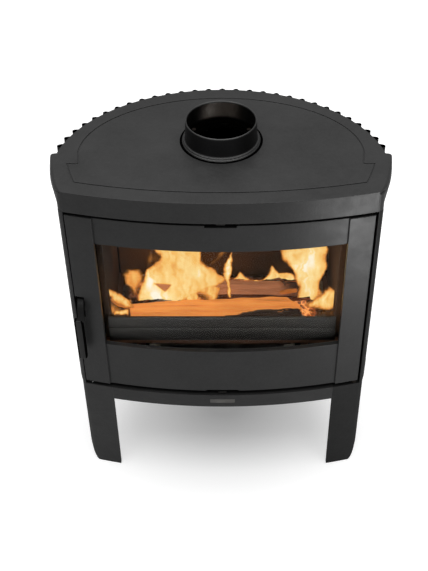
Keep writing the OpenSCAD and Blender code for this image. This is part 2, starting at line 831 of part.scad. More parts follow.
// Rib on the back shell at an angle of its ellipse, with a round nose
module flute(t) {
    translate(back_point(t)) rotate(atan2(back_a * sin(t), back_b * cos(t))) {
        translate([flute_out - flute_r, 0]) circle(r = flute_r, $fn = 24);
        translate([-shell_in - 1, -flute_r]) square([shell_in + 1 + flute_out - flute_r, 2 * flute_r]);
    }
}

module back_shell() {
    foot = side_y + seat_gap;
    flange_x = side_in - flange_lap;
    wall_x = back_point(back_angle(foot + shell_t / 2), shell_in + shell_t / 2)[0];
    color(iron_dark) placed() translate([0, 0, base_z]) linear_extrude(rim_z - base_z - seat_gap) difference() {
        union() {
            difference() {
                union() {
                    polygon(back_points(0, 180, shell_in, 120));
                    for (i = [0:flutes - 1]) flute(walk(flute_start, i * flute_step));
                }
                polygon(back_points(0, 180, shell_in + shell_t, 120));
            }
            for (side = [-1, 1]) translate([side * (flange_x + wall_x) / 2, foot])
                square([wall_x - flange_x, 2 * shell_t], center = true);
        }
        translate([-past, -past]) square([2 * past, past + foot]);
    }
}

module bottom_outline() {
    x = side_in - seat_gap;
    half = [for (p = back_points(0, 90, shell_in + shell_t + seat_gap, 60)) if (p[1] > side_y + 8) p];
    intersection() {
        polygon(concat([[x, 0], [x, side_y], [x - 4, side_y], [x - 4, side_y + 8]], half, mirrored(half),
            [[4 - x, side_y + 8], [4 - x, side_y], [-x, side_y], [-x, 0]]));
        translate([0, front_r]) circle(r = front_r - beam_t - 20, $fn = arc_fn);
    }
}

module bottom_plate() {
    color(iron_dark) placed() difference() {
        union() {
            translate([0, 0, base_z]) linear_extrude(floor_t) bottom_outline();
            for (s = [-1, 1]) translate([s * (pan_x - 20) - 5, hearth_y0 + 10, floor_z - eps])
                cube([10, pan_d, pan_rib_h + eps]);
        }
        for (p = rod_places()) translate([p[0], p[1], base_z - eps])
            cylinder(r = rod_r + pin_gap, h = floor_t + 2 * eps);
        for (p = rear_bolt_places()) translate([p[0], p[1], base_z - eps])
            cylinder(r = bolt_r + pin_gap, h = floor_t + 2 * eps);
    }
}

function rear_bolt_places() = [for (s = [-1, 1], d = [-1, 1]) [s * (rear_leg_x + d * rear_leg_w * 0.3),
    rear_leg_y - rear_bolt_in]];

// Rear leg: tapered plate, rib behind it and a flange under the bottom plate
module rear_leg() {
    plate = rear_plate_t;
    difference() {
        union() {
            translate([rear_leg_x, rear_leg_y + plate / 2, 0]) rotate([90, 0, 0]) linear_extrude(plate)
                polygon([[-rear_foot_w / 2, 0], [rear_foot_w / 2, 0], [rear_leg_w / 2, base_z],
                    [-rear_leg_w / 2, base_z]]);
            translate([rear_leg_x + plate / 2, rear_leg_y, 0]) rotate([0, -90, 0]) linear_extrude(plate)
                polygon([[0, -12], [base_z, -rear_rib_d], [base_z, 0], [0, 0]]);
            translate([rear_leg_x - rear_leg_w / 2, rear_leg_y - rear_rib_d, base_z - plate])
                cube([rear_leg_w, rear_rib_d, plate]);
        }
        for (p = rear_bolt_places()) if (p[0] > 0) translate([p[0], p[1], base_z - plate - eps])
            cylinder(r = bolt_r + pin_gap, h = plate + 2 * eps);
    }
}

module rear_leg_left() {
    color(iron) placed() mirror([1, 0, 0]) rear_leg();
}

module rear_leg_right() {
    color(iron) placed() rear_leg();
}

module rear_leg_bolts() {
    color(steel) placed() for (p = rear_bolt_places()) translate([p[0], p[1], 0]) {
        translate([0, 0, base_z - rear_plate_t - nut_h]) cylinder(r = bolt_r + 3, h = nut_h, $fn = 6);
        translate([0, 0, base_z - rear_plate_t - eps]) cylinder(r = bolt_r, h = rear_plate_t + eps + floor_t);
    }
}

module tie_rods() {
    color(steel) placed() for (p = rod_places()) translate([p[0], p[1], 0]) {
        translate([0, 0, base_z - nut_h]) cylinder(r = rod_r + 3, h = nut_h, $fn = 6);
        translate([0, 0, base_z - eps]) cylinder(r = rod_r, h = slab_z - boss_cap - base_z - seat_gap);
    }
}

module hearth_outline() {
    half = [[hearth_x, hearth_y0], [hearth_x, hearth_y1 - 25], [hearth_x - 17, hearth_y1]];
    polygon(concat(half, mirrored(half)));
}

module hearth_plate() {
    color(soot) placed() difference() {
        union() {
            translate([0, 0, hearth_z - floor_t]) linear_extrude(floor_t) hearth_outline();
            for (s = [-1, 1]) translate([s * hearth_leg_x - hearth_leg_t / 2, hearth_leg_y, floor_z])
                cube([hearth_leg_t, hearth_y1 - hearth_leg_y - 26, hearth_z - floor_z - eps]);
            translate([-grate_x - 12, grate_y0 - 12, hearth_z - grate_t - 6])
                cube([2 * grate_x + 24, grate_d + 24, grate_t + 5]);
        }
        translate([-grate_x - seat_gap, grate_y0 - seat_gap, hearth_z - grate_t])
            cube([2 * grate_x + 2 * seat_gap, grate_d + 2 * seat_gap, grate_t + eps]);
        translate([-grate_x + grate_ledge, grate_y0 + grate_ledge, hearth_z - grate_t - 6 - eps])
            cube([2 * grate_x - 2 * grate_ledge, grate_d - 2 * grate_ledge, 6 + 2 * eps]);
    }
}

module grate() {
    pitch = (2 * grate_x - 20) / grate_slots;
    color(soot) placed() difference() {
        translate([-grate_x, grate_y0, hearth_z - grate_t]) cube([2 * grate_x, grate_d, grate_t]);
        for (i = [0:grate_slots - 1])
            translate([-grate_x + 10 + (i + 0.5) * pitch - grate_slot_w / 2, grate_y0 + 14,
                hearth_z - grate_t - eps])
            cube([grate_slot_w, grate_d - 28, grate_t + 2 * eps]);
    }
}

module ash_pan() {
    color(steel) placed() {
        difference() {
            translate([-pan_x, pan_y0, pan_z0]) cube([2 * pan_x, pan_d, pan_h]);
            translate([-pan_x + pan_t, pan_y0 + pan_t, pan_z0 + pan_t])
                cube([2 * pan_x - 2 * pan_t, pan_d - 2 * pan_t, pan_h]);
        }
        translate([0, pan_y0 + eps, pan_z0 + pan_h / 2]) rotate([90, 0, 0]) cylinder(r = 8, h = 14 + eps);
    }
}

module back_lining() {
    x = hearth_x - 18;
    color(soot) placed() translate([-x, back_lining_y, hearth_z]) cube([2 * x, lining_t, lining_h]);
}

module side_lining() {
    translate([lining_x, lining_y, hearth_z]) cube([lining_t, back_lining_y - seat_gap - lining_y, lining_h]);
}

module side_lining_left() {
    color(soot) placed() mirror([1, 0, 0]) side_lining();
}

module side_lining_right() {
    color(soot) placed() side_lining();
}

module baffle() {
    x = lining_x + lining_t / 3;
    color(soot) placed() translate([-x, baffle_y, lining_z1])
        cube([2 * x, back_lining_y + lining_t - baffle_y, baffle_t]);
}

// Log retainer: upright plate with a rounded upper edge, and a half-round swelling along the foot of its face
module log_retainer() {
    y0 = hearth_y0 + 1;
    color(soot) placed() {
        translate([-retainer_x, y0, hearth_z])
            cube([2 * retainer_x, retainer_t, retainer_h - retainer_t / 2]);
        translate([-retainer_x, y0 + retainer_t / 2, hearth_z + retainer_h - retainer_t / 2])
            rotate([0, 90, 0])
            cylinder(r = retainer_t / 2, h = 2 * retainer_x);
        intersection() {
            translate([-retainer_x, y0, hearth_z + retainer_foot / 2])
                rotate([0, 90, 0])
                scale([retainer_foot / 2 / retainer_out, 1, 1])
                cylinder(r = retainer_out, h = 2 * retainer_x, $fn = 48);
            translate([-retainer_x, y0 - 2 * retainer_out, hearth_z])
                cube([2 * retainer_x, 2 * retainer_out + retainer_t / 2, retainer_foot]);
        }
    }
}

// Pin in the top's boss, with its lower end in the door
module upper_hinge_pin() {
    color(steel) placed() translate([hinge_x, hinge_y, door_z1 - hinge_len])
        cylinder(r = hinge_r, h = skirt_z + hinge_seat - door_z1 + hinge_len);
}

// Pin in the leg's head, with a collar that carries the door
module lower_hinge_pin() {
    color(steel) placed() translate([hinge_x, hinge_y, 0]) {
        translate([0, 0, floor_z]) cylinder(r = hinge_r, h = door_z0 + hinge_len - floor_z);
        translate([0, 0, beam_z]) cylinder(r = hinge_collar_r, h = door_z0 - beam_z - seat_gap);
    }
}

// Ring along the front: outer edges x, z0 and z1, drawn in by w
module front_ring(x, z0, z1, w, off0, off1) {
    difference() {
        front_band(-x, x, z0, z1, off0, off1);
        front_band(-x + w, x - w, z0 + w, z1 - w, off0 - eps, off1 + eps);
    }
}

// Plates that hold the glass, and the bosses under them
module at_clips() {
    for (x = [-clip_x, clip_x], up = [0, 1]) at_front(x)
        translate([0, 0, up ? window_z1 + glass_lap : window_z0 - glass_lap])
            mirror([0, 0, 1 - up]) children();
}

module door_frame() {
    lap = glass_lap + 2;
    color(iron) placed() difference() {
        union() {
            difference() {
                front_band(-free_x, door_x, door_z0, door_z1, 0, door_t);
                front_band(-window_x, window_x, window_z0, window_z1, -eps, door_t + eps);
                front_band(-window_x, window_x, door_z0 - eps, door_z1 + eps, -eps, rail_in);
                front_band(-window_x - lap, window_x + lap, door_z0 + edge_w, door_z1 - edge_w, panel_t,
                    door_t + eps);
            }
            at_clips() translate([-clip_w / 2, panel_t - eps, boss_in])
                cube([clip_w, door_t - panel_t + eps, boss_h]);
        }
        translate([-top_notch_w / 2, 0, door_z1 - top_notch_d]) cube([top_notch_w, 40, top_notch_d + eps]);
        translate([-low_notch_w / 2, 0, door_z0 - eps]) cube([low_notch_w, 40, low_notch_d + eps]);
        translate([-free_x - 5, 0, notch_z1 - notch_h]) cube([free_x + 5 - notch_x, 90, notch_h]);
        translate([-notch_x - eps, pivot_y, pivot_z]) rotate([0, 90, 0])
            cylinder(r = lever_pin_r + pin_gap, h = pin_depth + eps + seat_gap);
        translate([hinge_x, hinge_y, door_z0 - eps]) difference() {
            cube([2 * hinge_round, 2 * hinge_round, door_z1 - door_z0 + 2 * eps]);
            translate([0, 0, -eps]) cylinder(r = hinge_round, h = door_z1 - door_z0 + 4 * eps, $fn = 96);
        }
        translate([hinge_x, hinge_y, door_z0 - eps])
            cylinder(r = hinge_r + pin_gap, h = hinge_len + eps + seat_gap);
        translate([hinge_x, hinge_y, door_z1 - hinge_len - seat_gap])
            cylinder(r = hinge_r + pin_gap, h = hinge_len + eps + seat_gap);
        front_ring(door_x - rope_side_in, door_z0 + rope_in, door_z1 - rope_in, rope_w, door_t - rope_groove,
            door_t + eps);
        at_clips() translate([0, 6, boss_in + boss_h / 2]) rotate([-90, 0, 0])
            cylinder(r = clip_screw_r + pin_gap, h = door_t);
    }
}

module door_glass() {
    color("#5a4a3a", 0.35) placed() front_band(-window_x - glass_lap, window_x + glass_lap,
        window_z0 - glass_lap, window_z1 + glass_lap, glass_off, glass_off + glass_t);
}

module glass_tape() {
    color(rope_grey) placed()
        front_ring(window_x + glass_lap - 0.5, window_z0 - glass_lap + 0.5, window_z1 + glass_lap - 0.5,
        tape_w, panel_t + 0.2, glass_off - 0.2);
}

module glass_clips() {
    color(steel) placed() at_clips() difference() {
        translate([-clip_w / 2, door_t + seat_gap, -clip_lap])
            cube([clip_w, clip_t, clip_lap + boss_in + boss_h]);
        translate([0, door_t, boss_in + boss_h / 2]) rotate([-90, 0, 0])
            cylinder(r = clip_screw_r + pin_gap, h = clip_t + 2);
    }
}

module clip_screws() {
    tip = panel_t - 6;
    color(steel) placed() at_clips() translate([0, 0, boss_in + boss_h / 2]) rotate([-90, 0, 0]) {
        translate([0, 0, tip]) cylinder(r = clip_screw_r, h = door_t + seat_gap + clip_t - tip + eps);
        translate([0, 0, door_t + seat_gap + clip_t])
            cylinder(r = clip_screw_r + screw_head_w, h = screw_head_h);
    }
}

module door_rope() {
    color(rope_grey) placed()
        front_ring(door_x - rope_side_in - 0.2, door_z0 + rope_in + 0.2, door_z1 - rope_in - 0.2,
        rope_w - 0.4, door_t - rope_groove + 0.2, jamb_off - seat_gap);
}

// Lever seen from the side: hub, neck that turns down to the grip, and latch nose with its hook
module lever_profile() {
    tip_z = keeper_z - keeper_gap;
    translate([pivot_y, pivot_z]) circle(r = hub_r, $fn = 48);
    polygon(concat(curve([pivot_y, pivot_z + hub_r], [grip_y + 7, pivot_z + hub_r - 1],
        [grip_y + 2, grip_z1], 8),
        [[grip_y + 2, grip_z1 - 4], [grip_y + grip_t - 3, grip_z1 - 4], [grip_y + grip_t - 3, grip_z1]],
        curve([grip_y + grip_t - 2, grip_z1 + 3], [grip_y + grip_t + 2, pivot_z - hub_r],
            [pivot_y, pivot_z - hub_r], 6)));
    polygon([[pivot_y, pivot_z - 5], [nose_y, pivot_z - 5], [nose_y, tip_z], [nose_y - nose_t, tip_z],
        [nose_y - nose_t, pivot_z + 5], [pivot_y, pivot_z + 5]]);
}

module handle_lever() {
    color(iron_dark) placed() difference() {
        translate([-lever_x - lever_w / 2, 0, 0]) rotate([90, 0, 90]) linear_extrude(lever_w) lever_profile();
        translate([-lever_x - lever_w / 2 - eps, pivot_y, pivot_z]) rotate([0, 90, 0])
            cylinder(r = lever_pin_r + pin_gap, h = lever_w + 2 * eps);
    }
}

module handle_grip() {
    b = 4;
    color(black) placed() difference() {
        translate([-grip_x, grip_y, grip_z1 - grip_len]) linear_extrude(grip_len) polygon([
            [-grip_w / 2 + 3, 0], [grip_w / 2 - 3, 0], [grip_w / 2, b], [grip_w / 2, grip_t - 2],
                [grip_w / 2 - 2, grip_t],
            [-grip_w / 2 + 2, grip_t], [-grip_w / 2, grip_t - 2], [-grip_w / 2, b]]);
        translate([-lever_x - lever_w / 2 - 0.1, grip_y + 2 - 0.1, grip_z1 - 4])
            cube([lever_w + 0.2, grip_t - 5 + 0.2, 4 + eps]);
    }
}

// Pin with a head, fixed in the door, that carries the lever
module handle_pin() {
    end_x = -notch_x + pin_depth;
    head_x = -lever_x - lever_w / 2 - seat_gap;
    color(steel) placed() translate([0, pivot_y, pivot_z]) rotate([0, 90, 0]) {
        translate([0, 0, head_x]) cylinder(r = lever_pin_r, h = end_x - head_x);
        translate([0, 0, head_x - 2]) cylinder(r = lever_pin_r + 2, h = 2);
    }
}

// Split log lying along x: wedge section with one rough round side
module split_log(len, w, h) {
    translate([-len / 2, 0, 0]) rotate([90, 0, 90]) linear_extrude(len)
        polygon([[-w * 0.42, 0], [w * 0.3, 0], [w * 0.5, h * 0.3], [w * 0.42, h * 0.72], [w * 0.12, h],
            [-w * 0.22, h * 0.86],
            [-w * 0.5, h * 0.4]]);
}

module front_log() {
    color(log_wood) placed() translate([-log_shift, hearth_y0 + log_y, hearth_z]) rotate([0, 0, log_turn[0]])
        split_log(log_len, log_w, log_h);
}

module back_log() {
    color(soot) placed() translate([log_shift / 2, hearth_y0 + back_log_y, hearth_z]) rotate([0, 0, log_turn[1]])
        split_log(log_len - log_less, log_w, back_log_h);
}

top_plate();
flue_collar();
collar_screws();
left_side();
right_side();
base_beam();
badge_plate();
upper_rail();
back_shell();
bottom_plate();
rear_leg_left();
rear_leg_right();
rear_leg_bolts();
tie_rods();
hearth_plate();
grate();
ash_pan();
back_lining();
side_lining_left();
side_lining_right();
baffle();
log_retainer();
latch_keeper();
keeper_screws();
primary_slider();
airwash_slider();
upper_hinge_pin();
lower_hinge_pin();
door_frame();
door_glass();
glass_tape();
glass_clips();
clip_screws();
door_rope();
handle_lever();
handle_grip();
handle_pin();
front_log();
back_log();
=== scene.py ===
"""Cast iron wood stove with a log fire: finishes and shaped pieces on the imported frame."""

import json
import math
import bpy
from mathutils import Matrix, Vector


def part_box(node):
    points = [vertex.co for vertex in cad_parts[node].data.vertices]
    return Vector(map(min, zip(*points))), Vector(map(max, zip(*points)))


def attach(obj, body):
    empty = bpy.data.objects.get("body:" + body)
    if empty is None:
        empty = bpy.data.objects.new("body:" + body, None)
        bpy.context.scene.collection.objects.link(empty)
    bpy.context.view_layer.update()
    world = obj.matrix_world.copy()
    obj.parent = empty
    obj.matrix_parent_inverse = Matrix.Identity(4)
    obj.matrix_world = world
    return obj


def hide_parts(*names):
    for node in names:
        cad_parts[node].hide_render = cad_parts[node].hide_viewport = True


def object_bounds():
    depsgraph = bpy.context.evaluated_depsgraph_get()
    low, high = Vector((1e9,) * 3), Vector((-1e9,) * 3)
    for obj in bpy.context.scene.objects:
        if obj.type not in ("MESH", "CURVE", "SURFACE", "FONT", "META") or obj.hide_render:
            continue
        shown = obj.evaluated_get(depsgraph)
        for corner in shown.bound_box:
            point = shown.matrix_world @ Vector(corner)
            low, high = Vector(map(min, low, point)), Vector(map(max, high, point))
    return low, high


bl_info = {
    "name": "Cast Iron Wood Stove",
    "version": (1, 0, 0),
    "blender": (4, 5, 0),
    "location": "View3D > Sidebar > Stove",
    "description": "Dresses the frame of a cast iron wood stove with its finishes and its fire",
    "category": "Object",
}

import bpy
import numpy as np

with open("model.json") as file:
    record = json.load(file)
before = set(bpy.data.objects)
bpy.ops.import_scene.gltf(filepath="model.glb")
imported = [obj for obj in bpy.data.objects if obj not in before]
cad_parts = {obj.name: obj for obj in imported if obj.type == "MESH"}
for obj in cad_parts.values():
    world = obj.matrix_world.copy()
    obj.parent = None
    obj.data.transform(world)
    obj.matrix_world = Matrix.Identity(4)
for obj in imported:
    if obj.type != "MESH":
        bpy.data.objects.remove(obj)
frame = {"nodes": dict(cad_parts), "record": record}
CAD_BOX = [list(corner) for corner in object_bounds()]

MM = 0.001
FRONT = CAD_BOX[0][1]
COLLAR_LOW, COLLAR_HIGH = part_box("flue_collar")
GRIP_LOW, GRIP_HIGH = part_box("handle_grip")
RETAINER_LOW, RETAINER_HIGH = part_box("log_retainer")
SHELL_LOW, SHELL_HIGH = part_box("back_shell")
HEARTH_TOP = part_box("hearth_plate")[1].z / MM
# Back ellipse in mm: half width, depth behind its middle, middle from the front, the shell's step in from it
BACK_WIDE, BACK_DEEP, BACK_MIDDLE, SHELL_SET_IN = 340, 299, 118, 4
# Number of flutes, and how far behind the front the first and the last stand, in mm
FLUTES, FLUTE_FROM = 29, 201
# Half width inside the firebox, in mm
HEARTH_HALF = 244
# Share of the white surroundings that reflections show
MIRRORED = 0.2
# The photo's view: height, width, focal length and the axis across, in pixels; the look down in degrees
PHOTO_HIGH, PHOTO_WIDE, FOCAL, AXIS, LOOK_DOWN = 571, 428, 1029.951, 235.601, 41.759
# Camera in metres: right of the middle, before the front's foremost point and over the floor
CAMERA_RIGHT, CAMERA_BEFORE, CAMERA_OVER = 0.02963, 1.572087, 2.01102
SENSOR = 36
SLOT_OF = {row["node"]: row["material_slot"] for row in frame["record"]["subparts"]}


# Mesh work

def at(x, y, z):
    """Points in metres, from mm right of the middle, behind the foremost point and over the floor."""
    x, y, z = np.broadcast_arrays(np.asarray(x, float), np.asarray(y, float), np.asarray(z, float))
    return np.stack([x * MM, y * MM + FRONT, z * MM], axis=-1)


def grid_faces(rows, cols, wrap_rows=False, wrap_cols=False):
    """Four-sided faces of a grid of points; a wrapped side joins its last line to its first."""
    i = np.arange(rows if wrap_rows else rows - 1)
    j = np.arange(cols if wrap_cols else cols - 1)
    i, j = (a.ravel() for a in np.meshgrid(i, j, indexing="ij"))
    ni, nj = (i + 1) % rows, (j + 1) % cols
    return np.stack([i * cols + j, i * cols + nj, ni * cols + nj, ni * cols + j], axis=1)


def fan_faces(ring, centre, flip=False):
    """Triangles from a ring of point numbers to one point at its middle."""
    after = np.roll(ring, -1)
    middle = np.full(len(ring), centre)
    return np.stack([after, ring, middle] if flip else [ring, after, middle], axis=1)


def closed_tube(rings):
    """A wrapped grid of rings with a fan over each end: (points, quads, triangles)."""
    rows, cols = rings.shape[:2]
    points = np.concatenate([rings.reshape(-1, 3), rings[:1].mean(axis=1), rings[-1:].mean(axis=1)])
    first = np.arange(cols)
    last = first + (rows - 1) * cols
    triangles = np.concatenate([fan_faces(first, rows * cols, True), fan_faces(last, rows * cols + 1)])
    return points, grid_faces(rows, cols, wrap_cols=True), triangles


def joined(parts):
    """Several (points, quads, triangles) as one; the faces' point numbers are moved on."""
    starts = np.cumsum([0] + [len(part[0]) for part in parts])
    return [np.concatenate([part[k] + (k > 0) * start for part, start in zip(parts, starts)])
            for k in range(3)]


def six_fold(points, quads, triangles):
    """Six times the signed volume inside the faces: positive when they point outwards."""
    halves = np.concatenate([quads[:, [0, 1, 2]], quads[:, [0, 2, 3]], triangles])
    a, b, c = (points[halves[:, k]] for k in range(3))
    return float(np.einsum("ij,ij->i", a, np.cross(b, c)).sum())


def put_mesh(name, points, quads, triangles=None, closed=True, body="stove", material=None, slot=None,
             values=None, smooth=True):
    """Make a piece from whole arrays, turn its faces outwards and let it ride on a body."""
    triangles = np.zeros((0, 3), int) if triangles is None else triangles
    points = np.asarray(points, float).reshape(-1, 3)
    if closed and six_fold(points - points.mean(axis=0), quads, triangles) < 0:
        quads, triangles = quads[:, ::-1], triangles[:, ::-1]
    sizes = np.concatenate([np.full(len(quads), 4), np.full(len(triangles), 3)])
    corners = np.concatenate([quads.ravel(), triangles.ravel()])
    mesh = bpy.data.meshes.new(name)
    mesh.vertices.add(len(points))
    mesh.vertices.foreach_set("co", points.astype(np.float32).ravel())
    mesh.loops.add(len(corners))
    mesh.loops.foreach_set("vertex_index", corners.astype(np.int32))
    mesh.polygons.add(len(sizes))
    mesh.polygons.foreach_set("loop_start", (np.cumsum(sizes) - sizes).astype(np.int32))
    mesh.update(calc_edges=True)
    for key, data in (values or {}).items():
        layer = mesh.attributes.new(key, "FLOAT", "POINT")
        layer.data.foreach_set("value", np.asarray(data, np.float32).ravel())
    mesh.polygons.foreach_set("use_smooth", np.full(len(sizes), smooth))
    if mesh.validate():
        raise RuntimeError(f"{name}: the mesh had faults")
    piece = bpy.data.objects.new(name, mesh)
    bpy.context.scene.collection.objects.link(piece)
    if material:
        mesh.materials.append(material)
    if body:
        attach(piece, body)
    return piece


def ripple(u, v, pace, seed=0.0, octaves=4, fade=0.5):
    """Smooth uneven relief: crossed sines, each octave twice as fine, lower by fade and turned by 1.7."""
    total, height = 0.0, 1.0
    for step in range(octaves):
        turn = seed + 1.7 * step
        p = math.cos(turn) * u + math.sin(turn) * v
        q = math.cos(turn) * v - math.sin(turn) * u
        wave = np.sin(p * pace + 3.1 * turn + 1.3 * np.sin(q * pace * 0.7 + turn))
        total = total + height * wave * np.cos(q * pace * 0.8 + 2.3 * turn)
        pace, height = pace * 2.03, height * fade
    return total


def evenly(points, count, closed=True):
    """Points spaced evenly along a line through the given ones."""
    points = np.asarray(points, float)
    if closed:
        points = np.concatenate([points, points[:1]])
    steps = np.linalg.norm(np.diff(points, axis=0), axis=1)
    along = np.concatenate([[0.0], np.cumsum(steps)])
    wanted = np.linspace(0, along[-1], count + 1)[:-1] if closed else np.linspace(0, along[-1], count)
    return np.stack([np.interp(wanted, along, points[:, k]) for k in range(points.shape[1])], axis=1)


def rounded(points, rounds):
    """A closed line with each point moved to the mean of itself and its two neighbours, several times."""
    for _ in range(rounds):
        points = (np.roll(points, 1, axis=0) + points + np.roll(points, -1, axis=0)) / 3
    return points


def smoothstep(low, high, x):
    """0 below low, 1 above high, and a smooth S between them."""
    t = np.clip((x - low) / (high - low), 0, 1)
    return t * t * (3 - 2 * t)


# Node work

class Nodes:
    """A node tree, with short calls to add nodes and link them."""

    def __init__(self, tree):
        self.tree = tree

    def add(self, kind, settings=None, **sockets):
        """Add a node. Sockets are given by name with _ for a space, or as _0, _1 for their number."""
        node = self.tree.nodes.new("ShaderNode" + kind)
        for key, value in (settings or {}).items():
            setattr(node, key, value)
        for key, value in sockets.items():
            self.put(node, int(key[1:]) if key[0] == "_" else key.replace("_", " "), value)
        return node

    def put(self, node, key, value):
        """Link a socket, or set its value."""
        if isinstance(value, bpy.types.NodeSocket):
            self.tree.links.new(value, node.inputs[key])
        else:
            node.inputs[key].default_value = value

    def sum(self, kind, a, b, clamp=False):
        """Two values through a Math node."""
        return self.add("Math", dict(operation=kind, use_clamp=clamp), _0=a, _1=b).outputs[0]

    def seen(self):
        """1 to the camera and through glass, and a share of it to reflections."""
        path = self.add("LightPath").outputs
        plain = self.sum("MAXIMUM", path["Is Camera Ray"], path["Is Transmission Ray"])
        return self.sum("MAXIMUM", plain, self.sum("MULTIPLY", path["Is Glossy Ray"], MIRRORED))


class Shader(Nodes):
    """A material and its node tree."""

    def __init__(self, name):
        self.material = bpy.data.materials.new(name)
        self.material.use_nodes = True
        super().__init__(self.material.node_tree)
        self.surface = self.tree.nodes["Principled BSDF"]

    def finish(self, **sockets):
        """Set the surface's own sockets and give back the material."""
        for key, value in sockets.items():
            self.put(self.surface, key.replace("_", " "), value)
        return self.material

    def where(self, scale=(1, 1, 1), move=(0, 0, 0)):
        """The piece's own coordinates through a Mapping node."""
        place = self.add("TexCoord").outputs["Object"]
        return self.add("Mapping", Vector=place, Scale=scale, Location=move).outputs[0]

    def noise(self, scale, detail=3.0, rough=0.5, place=None, warp=0.0):
        """A noise texture's value."""
        return self.add("TexNoise", Vector=place or self.where(), Scale=scale, Detail=detail, Roughness=rough,
                        Distortion=warp).outputs["Fac"]

    def span(self, value, low, high, to_low=0.0, to_high=1.0):
        """A value moved from one range into another, and held at its ends."""
        return self.add("MapRange", _0=value, _1=low, _2=high, _3=to_low, _4=to_high).outputs[0]

    def distance(self, vector):
        """How far a place is from the origin."""
        return self.add("VectorMath", dict(operation="LENGTH"), _0=vector).outputs["Value"]

    def bump(self, strength, distance, height, **normal):
        """A normal tilted by relief."""
        return self.add("Bump", Strength=strength, Distance=distance, Height=height, **normal).outputs[0]

    def near(self, value, middle, reach):
        """1 where a value lies within a reach of a middle, and 0 elsewhere."""
        return self.add("Math", dict(operation="COMPARE"), _0=value, _1=middle, _2=reach).outputs[0]

    def mix(self, share, a, b):
        """Two colours by a share."""
        node = self.add("Mix", dict(data_type="RGBA"), _0=share)
        for number, value in ((6, a), (7, b)):
            self.put(node, number, value if isinstance(value, bpy.types.NodeSocket) else (*value, 1.0))
        return node.outputs[2]

    def ramp(self, value, stops):
        """A colour ramp from (place, colour) stops."""
        node = self.add("ValToRGB", _0=value)
        line = node.color_ramp
        while len(line.elements) < len(stops):
            line.elements.new(0.5)
        for element, (place, colour) in zip(line.elements, stops):
            element.position = place
            element.color = (*colour, 1.0)
        return node.outputs[0]

    def attribute(self, name):
        """A value carried by the mesh."""
        return self.add("Attribute", dict(attribute_name=name)).outputs["Fac"]


def shade(colour, factor):
    """A colour made lighter or darker."""
    return tuple(min(1.0, c * factor) for c in colour)


def cast_iron(name, colour, rough=0.40, grain=1.0, edge=1.5 * MM, wear=0.25, soot=0.0, gloss=0.3,
              painted_shade=None, flue=False, bead=None):
    """Painted or bare cast iron: cloudy tone, sand-cast grain, softened edges that catch the light.

    sooty names a value on the mesh that turns the finish to dull black: painted shade. Its values brown and
    bare turn it to a scorched tone and to pale metal. On the flue collar the scorched tone is partly scorch
    and partly painted highlight, and the pale metal is painted highlight. flue paints near-black shade into
    the crevice round the flue collar and into the hole under it.
    bead is the height of a thin dark seam line. The iron above it is painted lighter, a painted highlight,
    and below it painted shade darkens it towards the bottom, in place of a shaded round bead.
    """
    s = Shader(name)
    cloud = s.span(s.noise(9.0, 4.0, 0.6), 0.3, 0.7)
    fine = s.noise(700.0, 2.0, 0.6)
    speck = s.span(s.noise(160.0, 3.0, 0.6), 0.4, 0.75)
    tone = s.mix(cloud, shade(colour, 0.82), shade(colour, 1.2))
    tone = s.mix(s.sum("MULTIPLY", speck, 0.35), tone, shade(colour, 1.55))
    soft = s.add("Bevel", dict(samples=6), Radius=edge).outputs[0]
    true = s.add("NewGeometry").outputs["Normal"]
    apart = s.add("VectorMath", dict(operation="DOT_PRODUCT"), _0=soft, _1=true).outputs["Value"]
    worn = s.span(apart, 0.995, 0.8, 0.0, wear)
    tone = s.mix(worn, tone, shade(colour, 3.2))
    if soot:
        tone = s.mix(s.span(s.noise(5.0, 4.0), 0.35, 0.7, 0.0, soot), tone, (0.004, 0.0035, 0.003))
    dull = s.attribute(painted_shade) if painted_shade else None
    if flue:
        # Painted shade: the crevice round the flue collar and the hole under it are painted near black
        axis = (COLLAR_LOW + COLLAR_HIGH) / 2
        reach = (COLLAR_HIGH.x - COLLAR_LOW.x) / 2
        flat = s.where(scale=(1, 1, 0), move=(-axis.x, -axis.y, 0))
        away = s.distance(flat)
        crevice = s.near(away, reach + 2.5 * MM, 2.6 * MM)
        dark = s.sum("MAXIMUM", crevice, s.span(away, reach - 12 * MM, reach - 8 * MM, 1.0, 0.0))
        tone = s.mix(dark, tone, (0.002, 0.002, 0.002))
    if bead:
        # Painted highlight above the seam and painted shade below it stand in for a round bead; then a thin
        # dark line at the seam
        level = s.add("SeparateXYZ", Vector=s.where()).outputs["Z"]
        tone = s.mix(s.span(level, bead - 22 * MM, bead - 5 * MM, 0.7, 0.0), tone, shade(colour, 0.2))
        tone = s.mix(s.span(level, bead - 0.8 * MM, bead + 0.2 * MM, 0.0, 0.5), tone, shade(colour, 1.9))
        seam = s.sum("MULTIPLY", s.near(level, bead, 1.3 * MM), 0.85)
        tone = s.mix(seam, tone, (0.003, 0.003, 0.003))
    # Mesh values: dull black painted shade; a scorched tone that on the collar is partly painted highlight; a
    # pale metal that on the collar is painted highlight
    if painted_shade:
        tone = s.mix(s.attribute("scorch_and_highlight"), tone, (0.035, 0.027, 0.021))
        tone = s.mix(s.attribute("bare"), tone, (0.17, 0.17, 0.168))
        tone = s.mix(dull, tone, (0.0015, 0.0014, 0.0013))
    sand = s.bump(0.35 * grain, 0.35 * MM, fine, Normal=soft)
    pits = s.bump(0.22 * grain, 0.8 * MM, s.noise(140.0, 3.0), Normal=sand)
    matt = s.span(s.noise(30.0, 3.0), 0.3, 0.7, rough - 0.05, rough + 0.06)
    # Where painted shade lies, the surface is made rough and black metallic, so it shows no reflection
    if painted_shade or flue:
        black = dull if painted_shade else dark
        matt = s.sum("MAXIMUM", matt, black)
        s.finish(Metallic=black)
    return s.finish(Base_Color=tone, Normal=pits, Specular_IOR_Level=gloss, Roughness=matt)


